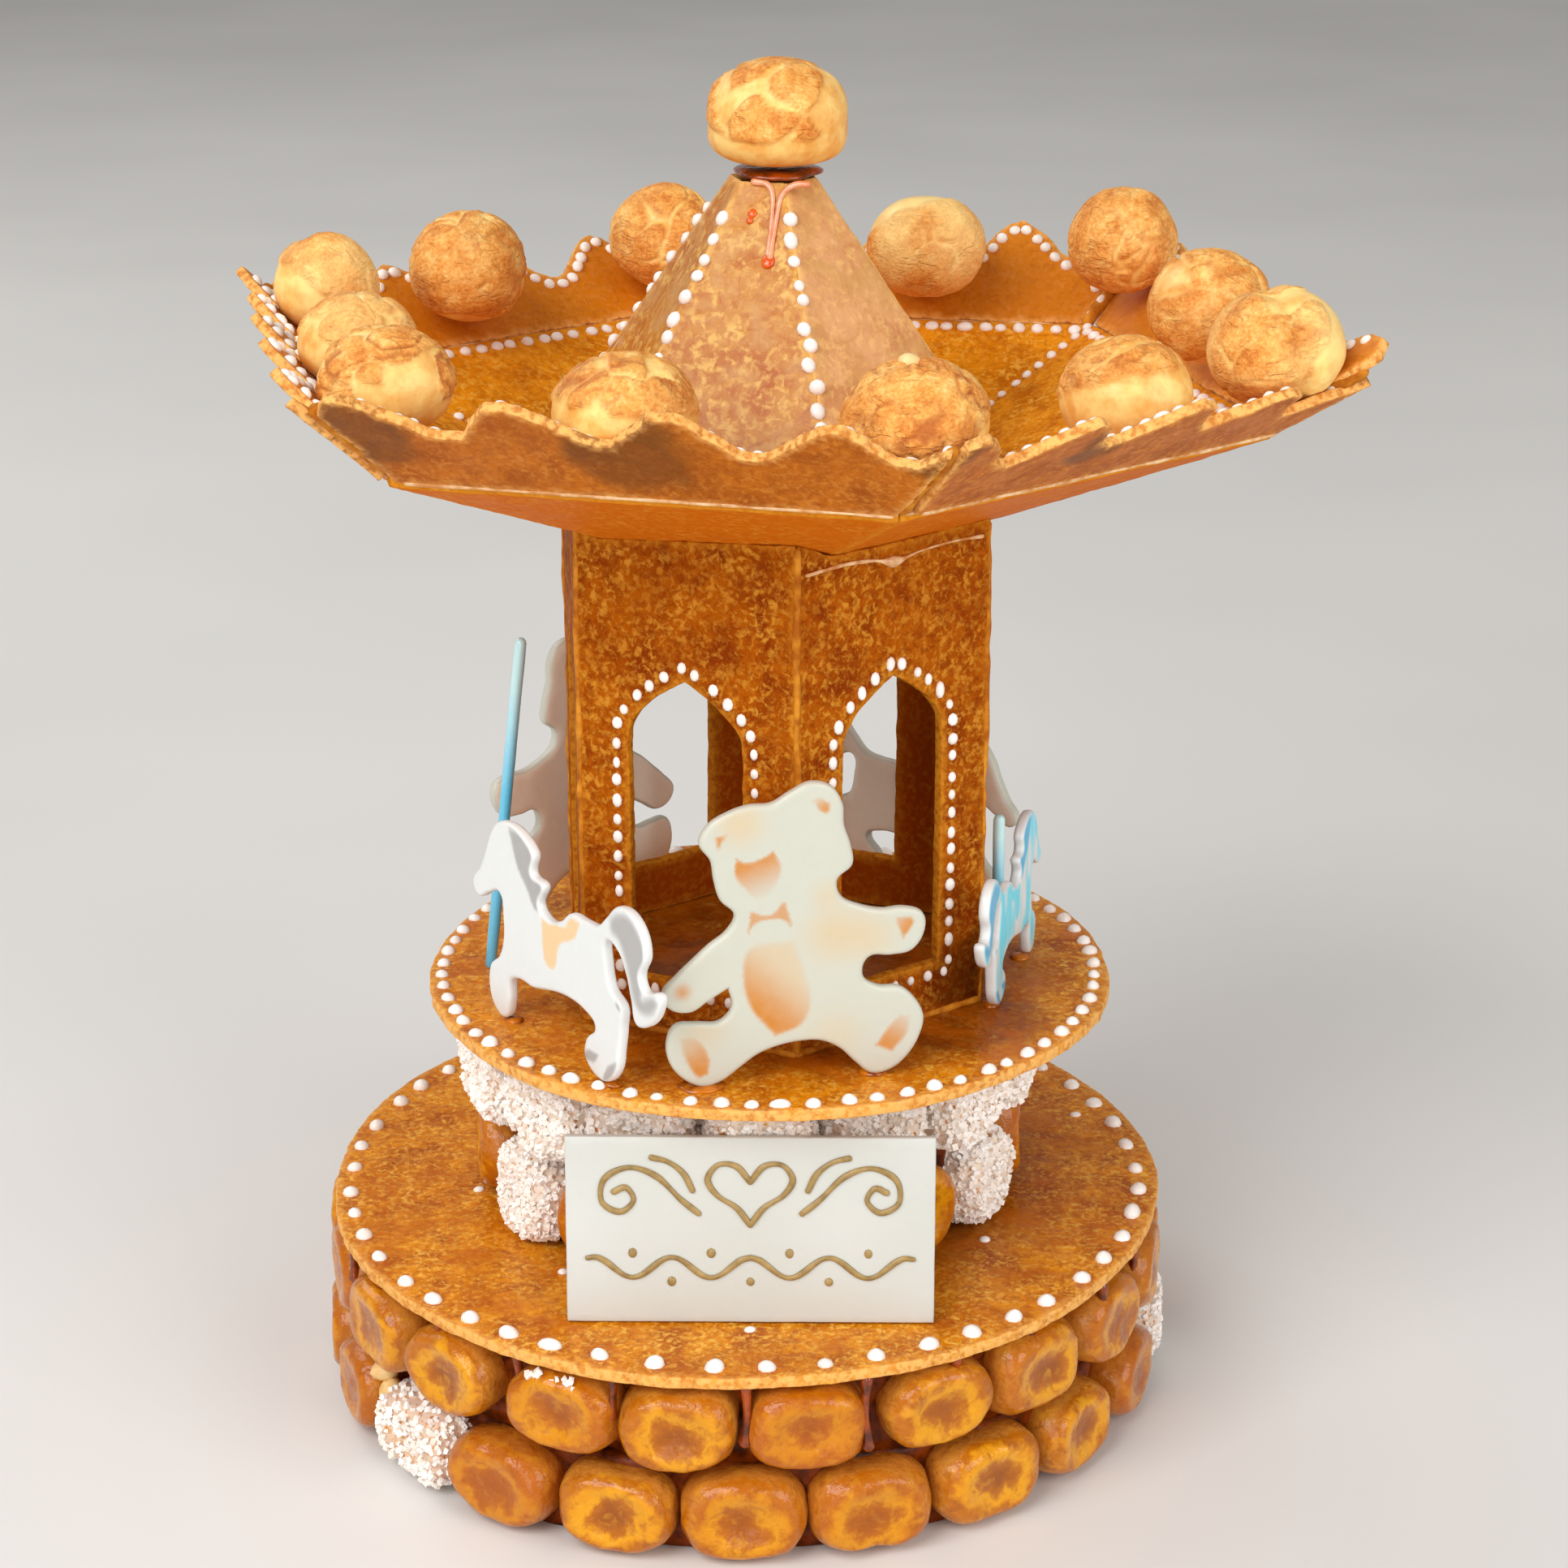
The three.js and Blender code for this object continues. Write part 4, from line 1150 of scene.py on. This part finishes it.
def crackled_chou(name, centre, half, rise, cap, cover, gaps, seed, planes=(), wrinkles=0.5, split=None,
                  flat=0.0, pale=0.0):
    """A chou under a cracked crust, with smooth cream in the cracks and round its foot."""
    random = np.random.default_rng(seed)
    way, faces = ball(rings=64, sides=116)
    skin = way * half
    turn, other_turn = random_turns(2, random)
    warp = columns(*(lumps(skin, 10, seed + k) for k in range(3)))
    edge = way @ unit(cap) + 0.16 * lumps(skin, 17, seed + 5) + 0.05 * lumps(skin, 5, seed + 6)
    crust = ramp_up(edge, cover - 0.03, cover + 0.06)
    apart, number = borders(skin @ turn * [1, 1, 1.7] + warp * 6, half * 1.25, seed)
    width = 0.25 * gaps * ramp_up(lumps(skin, 19, seed + 9), -0.3, 0.7) - 0.05
    crust *= ramp_up(apart, width, width + 0.09)
    crust *= np.where(number < 0.14 * gaps, 0.15, 1)
    crease = np.abs(lumps(skin @ other_turn * [1, 0.3, 0.55] + warp * 2, 4.4, seed + 12))
    crease = (1 - ramp_up(crease, 0, 0.2)) * ramp_up(lumps(skin, 12, seed + 13), -0.7, 0.1)
    crease *= wrinkles * crust
    groove = np.zeros(len(way))
    if split:
        groove = 1 - ramp_up(np.abs(way @ unit(split) + 0.1 * lumps(skin, 12, seed + 20)), 0, 0.3)
    shape = 0.985 + 0.05 * lumps(skin, 26, seed) + 0.02 * lumps(skin, 11, seed + 2)
    grain = 0.14 * lumps(skin, 1.9, seed + 3) + 0.22 * lumps(skin, 4.2, seed + 4)
    height = crust * (0.9 + grain) - 0.9 - 0.7 * crease - 2.6 * groove
    below = way[:, 2] < 0
    tall = np.abs(way[:, 2])
    # Below its middle a chou is fuller than a ball, by as much as flat says.
    bulge = np.where(below, (1 - tall ** (2 + flat)) ** (1 / (2 + flat)) / np.sqrt(1 - tall ** 2 + 1e-9), 1)
    points = way * columns(half * bulge, half * bulge, rise * np.where(below, BELLY, 1))
    points = resting(points * shape[:, None] + way * height[:, None] + centre, planes)
    toast_and_painted_light_mask = ramp_up(lumps(skin, 13, seed + 8), 0.2, 0.8) * 0.25 + 0.9 * crease
    toast_and_painted_light_mask = np.clip(toast_and_painted_light_mask + 0.3 * (1 - ramp_up(apart, width + 0.05, width + 0.16)), 0, 1) * crust
    # Painted light: paler towards the right side (+X), with random spread.
    painted_light_share = pale * ramp_up(way[:, 0] * 0.5 + lumps(skin, 18, seed + 15), -0.6, 0.4)
    make_piece(name + "_crust", points, faces, CRUST_LOOK, "craquelin_choux",
               {"crust": crust, "toast_and_painted_light_mask": toast_and_painted_light_mask, "pale": painted_light_share}, [name])


def make_roof_choux():
    planes = tray_planes()
    for seed, (name, (at, *shape, special)) in enumerate(ROOF_CHOUX.items(), start=200):
        crackled_chou(name, SHIFT + at, *shape, seed, planes, **special)
    width, _, height = size_of("chou_top")
    rise = height / (1 + BELLY)
    centre = middle("chou_top") * [1, 1, 0] + UP * (low_of("chou_top") + rise * BELLY)
    crackled_chou("chou_top", centre, width / 2 * 0.98, rise * 0.98, (-0.1, -0.3, 1), -0.12, 1.0, 233,
                  wrinkles=0.4, flat=1.4)


# Figures, poles and plaque

IVORY = linear((198, 199, 185))
WHITE = linear((228, 231, 230))
PEACH = linear((200, 126, 34))
SOFT_PEACH = linear((216, 178, 116))
GREY = linear((168, 166, 166))
SADDLE = linear((240, 202, 150))
AQUA = linear((96, 226, 248))
BLUE = linear((50, 178, 226))
# The figures' cream backs, lightened beyond the ivory front as painted light: they stand in shade.
BACK_WITH_PAINTED_LIGHT = linear((255, 244, 224))


def blend(paint, colour, share):
    """Paint with a colour over it, where the share says."""
    return paint + (colour - paint) * share[:, None]


def depth_inside(place, corners):
    """How far each place is inside a rounded patch, less than 0 outside it."""
    loop = smooth_loop(np.array(corners, float), 0.8, corner_degrees=75)
    apart = np.full(len(place), 1e9)
    for part in np.array_split(loop, max(1, len(loop) // 60)):
        apart = np.minimum(apart, np.linalg.norm(place[:, None] - part[None], axis=2).min(axis=1))
    return np.where(within(place, [loop]), apart, -apart)


def patch(paint, place, corners, colour, soft=0.9, strength=1.0, fade=None):
    """Airbrushes a patch: fade gives the dark and the light end of its colour."""
    share = ramp_up(depth_inside(place, corners), -soft * 0.5, soft) * strength
    if fade:
        dark, light = np.array(fade, float)
        run = ((place - dark) @ (light - dark)) / ((light - dark) @ (light - dark))
        share = share * (1 - 0.92 * ramp_up(run, 0.0, 1.0))
    return blend(paint, colour, share)


def glazed(paint, side, main):
    """The paint on a figure's front, its main colour round the edge, and a cream back lightened as painted
    light, since the backs stand in shade.
    """
    return np.where((side > 0.5)[:, None], paint, np.where((side < -0.5)[:, None], BACK_WITH_PAINTED_LIGHT, main))


# The bear's soft spots: place, radius, colour and strength.
BEAR_SPOTS = [
    ((-17, 92), 12, SOFT_PEACH, 0.5), ((14, 52), 16, SOFT_PEACH, 0.5), ((26, 50), 13, SOFT_PEACH, 0.4),
    ((11, 66), 8, SOFT_PEACH, 0.3), ((-30, 22), 14, SOFT_PEACH, 0.35), ((14, 16), 16, SOFT_PEACH, 0.25),
    ((-36.3, 35.4), 4.5, PEACH, 0.8),
]
BEAR_BELLY = [(-14.2, 48.9), (0.4, 51), (6, 30.5), (3.2, 21.1), (-5.7, 17.2), (-13.9, 27.7), (-16.4, 38.9)]
# Its ears, muzzle, bow, belly and paws: corners, colour, and how the patch is airbrushed.
BEAR_PATCHES = [
    ([(5.8, 99.2), (9.1, 99.4), (12, 96.3), (11.3, 93.4), (8.5, 95.1)], PEACH,
     {"fade": ((11, 94), (5, 100))}),
    ([(-25.2, 88), (-20.7, 89.3), (-23.1, 86.1), (-24.4, 83.4)], PEACH, {"fade": ((-24, 86), (-19, 90))}),
    ([(-18.8, 80.5), (-15.1, 78.8), (-9, 80.5), (-6.3, 82.7), (-3.8, 75.4), (-8, 67.2), (-11.8, 65.9),
      (-15.1, 69.1), (-19, 74.4)], PEACH, {"fade": ((-15, 80), (-9, 65))}),
    ([(-13.9, 61.9), (-7.7, 60.3), (-2.6, 65), (0, 55.3), (-3.6, 58.2), (-7.7, 58.5), (-11.8, 57.7),
      (-14.8, 54)], PEACH, {"soft": 0.7, "strength": 0.75}),
    (BEAR_BELLY, SOFT_PEACH, {"soft": 3.0, "strength": 0.4}),
    (BEAR_BELLY, PEACH, {"soft": 1.2, "fade": ((-12, 26), (2, 40))}),
    ([(33.3, 56.4), (40, 55.7), (39.5, 52.7), (36.5, 48.7)], PEACH, {"fade": ((38, 51), (30, 58))}),
    ([(-37.2, 19.3), (-31.7, 18.5), (-27.6, 11.1), (-28.1, 5.2), (-31.9, 4.8), (-36.5, 13.4)], PEACH,
     {"soft": 1.2, "fade": ((-29, 7), (-38, 24))}),
    ([(35.1, 21), (39.4, 21), (38, 14.4), (33.1, 8.5), (27.5, 11.2)], PEACH,
     {"soft": 1.0, "fade": ((31, 10), (42, 24))}),
]


def bear_paint(place, side):
    paint = np.tile(IVORY, (len(place), 1))
    for centre, radius, colour, strength in BEAR_SPOTS:
        away = np.linalg.norm(place - np.array(centre), axis=1)
        paint = blend(paint, colour, strength * (1 - ramp_up(away, 0, radius)))
    for corners, colour, brush in BEAR_PATCHES:
        paint = patch(paint, place, corners, colour, **brush)
    return glazed(paint, side, IVORY)


MANE = [(-25.8, 73.9), (-16, 73), (-7.1, 68.4), (-4.3, 59.1), (-5.4, 49.1), (-10, 49), (-14.3, 54.3),
        (-20.6, 61.1)]
SADDLE_CLOTH = [(-5.7, 49.7), (2.3, 48.3), (8.8, 49.3), (12.8, 53.7), (18.4, 53.8), (15, 47.2),
                (5.2, 41.2), (2.9, 33.7), (-0.9, 30.7), (-4.9, 33.6)]
TAIL = [(37.3, 62.7), (46.5, 66.2), (54.8, 61.5), (57.6, 56.1), (56.1, 45.6), (54.8, 40.1), (60.8, 43),
        (64.9, 40.9), (60, 35.6), (52.8, 34.4), (48.7, 38.7), (45.4, 48.3), (41.3, 54.8), (36.5, 57.4)]
HORSE_HOOVES = [
    [(37.6, 35), (42, 37.7), (45.8, 34.7), (45.2, 30.1), (40.6, 30.6)],
    [(-25.3, 11.2), (-28.6, 8.5), (-32.1, -0.6), (-27.5, 1.4)],
    [(21.1, 9.8), (28.7, 10.6), (24.8, 6.4), (18, 6)],
    [(33, 7.9), (40.6, 13), (41.7, 9), (34.7, 2.3), (29, 0)],
]


def horse_paint(main, dark, cloth, mirrored=False, scale=1.0, washed=0.0):
    """A horse's colours: its mane, saddle cloth, tail and hooves."""

    def paint_on(place, side):
        place = place / scale * np.array([-1 if mirrored else 1, 1])
        wash = lumps(columns(place[:, 0] * 1.6, place[:, 1] * 0.7, place[:, 0]), 12, 3)
        paint = blend(main, AQUA, washed * ramp_up(wash, -0.5, 0.3))
        paint = patch(paint, place, MANE, dark, soft=1.4)
        paint = patch(paint, place, TAIL, dark, soft=2.6, strength=0.95)
        paint = patch(paint, place, SADDLE_CLOTH, cloth, soft=0.8)
        for corners in HORSE_HOOVES:
            paint = patch(paint, place, corners, dark, soft=1.0)
        return glazed(paint, side, main)

    return paint_on


# Each figure: where it stands, the way it faces, how fine its mesh is, and its paint.
FIGURES = {
    "bear_front": ((2.5, -96.8), -79.3, 0.9, bear_paint),
    "bear_back": ((-73.6, 60.5), 134.1, 1.3, bear_paint),
    "horse_left": ((-75.5, -75.4), -144.3, 0.9, horse_paint(WHITE, GREY, SADDLE)),
    "horse_right": ((79.5, -15.8), -16.9, 1.0,
                    horse_paint(WHITE, BLUE, AQUA, mirrored=True, scale=0.76, washed=1.0)),
    "horse_back": ((50, 66), 48, 1.3, horse_paint(IVORY, GREY, SADDLE, scale=0.92)),
}


def make_figures():
    for seed, (node, (at, facing, step, paint)) in enumerate(FIGURES.items(), start=300):
        flat = flat_side(node, level(facing), origin=SHIFT + [*at, DISC_TOP])
        plate(node, "chocolate", flat, FIGURE_PLATE, CHOCOLATE_LOOK, "white_chocolate", step=step,
              back_step=2.2, edge=1.2, relief=0.07, rough=0.0, seed=seed, outline_step=0.9,
              colours=paint, corner_degrees=110)


def strand(line, radius, flat=1.0, normal=UP, sides=10):
    """A rod along a smooth line of points, with rounded ends."""
    radius = np.broadcast_to(radius, len(line))
    ahead = unit(np.gradient(line, axis=0))
    side = unit(np.cross(ahead, normal))
    above = np.cross(side, ahead)
    turn = angles(sides)[:, None]
    last = len(line) - 1
    # Each ring: the point it belongs to, how far beyond that, and how wide.
    plan = [(0, -0.8, 0.5), (0, -0.45, 0.85)]
    plan += [(i, 0.0, 1.0) for i in range(len(line))]
    plan += [(last, 0.45, 0.85), (last, 0.8, 0.5)]
    rings = []
    for i, beyond, share in plan:
        centre = line[i] + ahead[i] * radius[i] * beyond
        rings.append(centre + radius[i] * share * (np.cos(turn) * side[i] + flat * np.sin(turn) * above[i]))
    return capped_rings(rings)


def make_poles():
    for node in ("pole_left", "pole_right"):
        points, _ = node_mesh(node)
        z = points[:, 2]
        low, high = points[z < z.min() + 2].mean(axis=0), points[z > z.max() - 2].mean(axis=0)
        line = low + (high - low) * np.linspace(0, 1, 60)[:, None]
        wobble = 0.12 * columns(lumps(line, 14, 1), lumps(line, 14, 2), 0)
        rod, faces = strand(line + wobble, 2.05 + 0.08 * lumps(line, 7, 4), normal=np.array([0.0, 1, 0]),
                            sides=16)
        height = (rod[:, 2] - low[2]) / (high[2] - low[2])
        make_piece(node + "_sugar", rod, faces, POLE_LOOK, "blue_sugar", {"height": height}, [node])


def plaque_paint(place, side):
    """White with warm clouds, the same on every side."""
    warm = 0.5 + 0.5 * lumps(columns(*place.T, 0), 30, 4)
    return 0.8 * np.array([1.0, 0.985, 0.95]) * blend(WHITE, IVORY, 0.4 * warm)


def make_plaque():
    """The white panel, with a generic flourish piped on it."""
    flat = flat_side("plaque", np.array([0.0, -1, 0.1]))
    plate("plaque", "chocolate", flat, PLAQUE_PLATE, CHOCOLATE_LOOK, "white_chocolate", step=2.2,
          back_step=6, edge=0.45, relief=0.06, rough=0.05, seed=9, colours=plaque_paint)
    heart = [(0, 2), (-4.5, 8), (-11, 12.5), (-14, 18), (-10.5, 23), (-4.5, 22.5), (0, 17)]
    scroll = [(-17, 6), (-23, 11), (-31, 19), (-40, 22), (-48, 18), (-49, 10), (-43, 6.5), (-38.5, 10.5),
              (-41, 15), (-45, 13.5)]
    tendril = [(-19, 14), (-22, 20), (-27, 24), (-32.5, 25.5)]
    wave = [(x, -13 + 3.6 * math.cos(x / 13 * math.pi)) for x in range(0, 55, 3)]
    parts = []
    for line in (heart, scroll, tendril, wave):
        for mirror in (1, -1):
            path = curved(np.array(line) * [mirror, 1], 0.9)
            swell = 1.0 + 0.14 * np.sin(np.arange(len(path)) * 0.35)
            parts.append(strand(flat.at(path, 0.35), swell, 0.6, flat.out, sides=8))
    make_joined("plaque_flourish", parts, PIPING_LOOK, "white_chocolate")
    dots = [(x * side, -13 - 5 * math.cos(x / 13 * math.pi)) for x in (13, 26, 39) for side in (1, -1)]
    spots = [(flat.at(dot), flat.out, flat.up, 1.5, 0.8) for dot in (*dots, (0, -18))]
    make_drops("plaque_dots", spots, PIPING_LOOK, tip=1.0)


# Caramel

def make_cap():
    """The pool of caramel under the top chou, with a poured strand down the pyramid."""
    turn = angles(48)
    reach = 14.4 + 0.7 * np.sin(3 * turn) + 0.5 * np.sin(5 * turn + 1)
    bottom = CAP * [1, 1, 0] + UP * low_of("caramel_cap")
    rings = [circle(reach * share, z, 48) + bottom
             for share, z in ((0.9, 0.05), (1.0, 0.6), (1.0, 1.3), (0.93, 2.0), (0.8, 2.5), (0.4, 2.58))]
    make_piece("caramel_cap_pool", *capped_rings(rings), CARAMEL_LOOK, "caramel", replaces=["caramel_cap"])
    flat = outer_face("pyramid_side", 6)
    top = flat.loops[0][:, 1].max()
    parts = []
    for arm in ([(-9, -0.3), (-5, -0.8), (-2.6, -3.5), (-1.4, -10), (-0.6, -25)],
                [(9, -0.3), (4.6, -0.8), (1.2, -4), (0.4, -10), (0.2, -26)]):
        path = curved(arm) + [0, top]
        share = np.linspace(0, 1, len(path))
        thickness = 1.25 - 0.45 * ramp_up(share, 0, 0.5) + 0.3 * ramp_up(share, 0.85, 1)
        parts.append(strand(flat.at(path, 0.5), thickness, 0.7, flat.out))
    # The strand is real caramel; its pinkish white colour is painted highlight.
    make_joined("caramel_strand", parts, POURED_CARAMEL_HIGHLIGHT_LOOK)
    spots = [(flat.at((x, top + y)), flat.out, flat.up, radius, height) for x, y, radius, height in (
        (-0.4, -27, 2.3, 1.3), (-8.1, -11, 1.6, 0.9), (-8.6, -13.5, 1.2, 0.7))]
    make_drops("caramel_beads", spots, RED_CARAMEL_LOOK, "caramel", tip=1.0)


def make_strays():
    """Single drops on the large disc, a crumb on a chou, a bit of cream, and caramel runs."""
    top = low_of("upper_row_lower") - GAP
    spots = [(SHIFT + [x, y, top], UP, np.array([1.0, 0.3, 0]), 1.9, 1.2) for x, y in (
        (-110.1, -17.3), (-75.8, -78.7), (70.1, -55.4), (-11.4, -118), (110.2, 43.7))]
    make_drops("stray_drops", spots)
    along = np.array([1.0, 0, 0])
    bits = [(SHIFT + [36.7, -135, 401.5], np.array([0, -0.3, 1.0]), along, 3.1, 3.2)]
    for degrees, z, size in ((-147.5, 24, 5.0), (-149, 31, 4.0)):
        out = level(degrees)
        bits.append((BASE_CENTRE + out * 144 + UP * z, out, along, size, 6.5))
    make_drops("cream_bits", bits, CREAM_LOOK)
    random = np.random.default_rng(61)
    parts = []
    for i in range(26):
        out = level(-97.5 + 360 / 21 * (i * 0.8 + 0.5) + random.uniform(-1.5, 1.5))
        side = np.cross(UP, out)
        start = BASE_CENTRE + out * random.uniform(144.5, 147) + UP * 66.3
        length = random.uniform(9, 26)
        line = curved([start, start - UP * length / 2 + side * random.uniform(-1, 1),
                       start - UP * length + side * random.uniform(-2, 2)], 1.5)
        share = np.linspace(0, 1, len(line))
        thick = 1.1 + 1.2 * share ** 3 + (1 - share) ** 3
        parts.append(strand(line, thick, 1.0, out, sides=8))
    make_joined("caramel_runs", parts, CARAMEL_LOOK)


def joint_rod(ends, radius, seed, out, step=2.5):
    """A lumpy line of caramel between two places."""
    start, end = ends
    count = max(3, round(np.linalg.norm(end - start) / step))
    line = start + (end - start) * np.linspace(0.01, 0.99, count)[:, None]
    thick = radius * (1 + 0.35 * lumps(line, 6, seed) + 0.25 * lumps(line, 17, seed + 1))
    line = line + columns(*(lumps(line, 9, seed + k) for k in range(3))) * radius * 0.3
    return strand(line, thick, 1.0, out, sides=8)


def make_joints():
    """The caramel that glues the tower's corners and foot, and the tray's and crown's seam."""
    joints, seam = [], []
    for k in SIDES:
        wall = outer_face("tower_wall", k)
        line = wall.loops[0]
        left, right, foot = line[:, 0].min(), line[:, 0].max(), line[:, 1].min()
        top = line[line[:, 0] > right - 1][:, 1].max()
        corner = wall.at([(right, foot), (right, top)]) - wall.out * 0.9 + wall.across * 0.1
        joints.append(joint_rod(corner, 1.2, k, wall.out))
        base = wall.at([(left, foot + 0.6), (right, foot + 0.6)]) - wall.out * 0.4
        joints.append(joint_rod(base, 1.4, k + 10, UP))
        crown = outer_face("crown_panel", k)
        line = crown.loops[0]
        edge = line[line[:, 1] < line[:, 1].min() + 1]
        ends = crown.at([(edge[:, 0].min() + 1, edge[0, 1] + 0.2), (edge[:, 0].max(), edge[0, 1] + 0.2)])
        seam.append(joint_rod(ends, 0.65, k + 20, crown.out, step=1.8))
        floor = tray_floor(k)
        rim = floor.at(floor.loops[0])
        rim = rim[np.argsort(-rim[:, 2])][:2] + outward(f"tray_floor_{k}") * 0.5 - UP * 1.4
        seam.append(joint_rod(rim, 1.1, k + 40, crown.out, step=1.8))
        *ends, out = crown_corner(k)
        joints.append(joint_rod(ends, 2.3, k + 30, out))
    make_joined("caramel_joints", joints, AMBER_LOOK)
    make_joined("crown_joints", seam, CLOUDY_LOOK)
    wall = outer_face("tower_wall", 1)
    line = curved([(-36, 82), (-21, 83), (-9.5, 82.4), (0, 80.6), (10, 82.4), (24, 83.4), (36, 83)], 1.2)
    thick = 0.55 + 0.25 * lumps(wall.at(line), 5, 3) + 1.5 * np.exp(-((line[:, 0] + 1) / 3.4) ** 2)
    rod = strand(wall.at(line, 0.2), thick, 0.6, wall.out, sides=8)
    make_piece("tower_caramel_line", *rod, CLOUDY_LOOK, "caramel")


# Pools at the figures' feet: how far along from the middle, and how wide.
FIGURE_POOLS = {
    "bear_front": ((-30, 7.0), (28, 4.2)), "horse_left": ((-31, 3.2), (31, 3.6)),
    "horse_right": ((22, 3.4), (-22, 3.2)), "bear_back": ((-30, 4.0), (28, 4.0)),
    "horse_back": ((-28, 3.4), (28, 3.4)),
}


def make_pools():
    """Caramel that glues the roof's choux and the figures."""
    spots = []
    planes = tray_planes()
    for at, _, rise, *_ in ROOF_CHOUX.values():
        for origin, out in planes:
            away = (SHIFT + at - origin) @ out
            if away < rise * 0.97:
                spots.append((SHIFT + at - out * (away - 0.1), out, np.cross(out, UP), 9.5, 1.5))
    make_drops("caramel_pools", spots, CARAMEL_LOOK, "caramel", tip=1.0)
    spots = []
    for node, pools in FIGURE_POOLS.items():
        at, facing, *_ = FIGURES[node]
        out = level(facing)
        across = np.cross(UP, out)
        for along, radius in pools:
            spots.append((SHIFT + [*at, DISC_TOP] + across * along - out * 1.5, UP, across, radius, 1.5))
    make_drops("figure_pools", spots, POOL_LOOK, "caramel", tip=1.0)


# Camera, floor and light

# The floor lies this far below the cake's foot, in metres, and reaches this far to each side.
FLOOR_Z = -0.0003
FLOOR_HALF = 20.0
# Soft lamps: name, place, size and power. They are turned to a place on the cake.
LAMPS = [
    ("key", (-1.5, -1.9, 2.3), 2.0, 70), ("fill", (2.0, -1.9, 1.4), 2.0, 42),
    ("front", (-0.5, -2.6, 0.5), 1.4, 13), ("back", (-1.7, 1.7, 2.4), 1.8, 24),
]
LAMPS_FACE = Vector((0, 0, 0.22))


def make_stage():
    camera = bpy.data.cameras.new("camera")
    camera.lens = CAMERA["lens"]
    camera.sensor_width = CAMERA["sensor"]
    holder = in_scene("camera", camera)
    holder.location = [value * MM for value in CAMERA["place"]]
    holder.rotation_euler = (math.radians(90 - CAMERA["pitch"]), 0, 0)
    bpy.context.scene.camera = holder

    mesh = bpy.data.meshes.new("floor")
    corners = [(x * FLOOR_HALF, y * FLOOR_HALF, FLOOR_Z) for x, y in ((-1, -1), (1, -1), (1, 1), (-1, 1))]
    mesh.from_pydata(corners, [], [(0, 1, 2, 3)])
    mesh.materials.append(FLOOR_PAINT)
    floor = in_scene("floor", mesh)

    for name, place, size, power in LAMPS:
        light = bpy.data.lights.new(name, "AREA")
        light.size = size
        light.energy = power
        lamp = in_scene(name, light)
        lamp.location = place
        lamp.rotation_euler = (LAMPS_FACE - Vector(place)).to_track_quat("-Z", "Y").to_euler()
    world = bpy.data.worlds.new("studio")
    world.use_nodes = True
    backdrop = world.node_tree.nodes["Background"].inputs
    backdrop["Color"].default_value = (1.0, 0.98, 0.95, 1)
    backdrop["Strength"].default_value = 0.34
    bpy.context.scene.world = world
    bpy.context.scene.view_settings.view_transform = "Standard"


make_stage()
make_discs()
make_tower()
make_roof()
make_nib_sugar(make_rows())
disc_drops()
window_drops()
roof_drops()
ridge_drops()
make_roof_choux()
make_figures()
make_poles()
make_plaque()
make_cap()
make_joints()
make_pools()
make_strays()
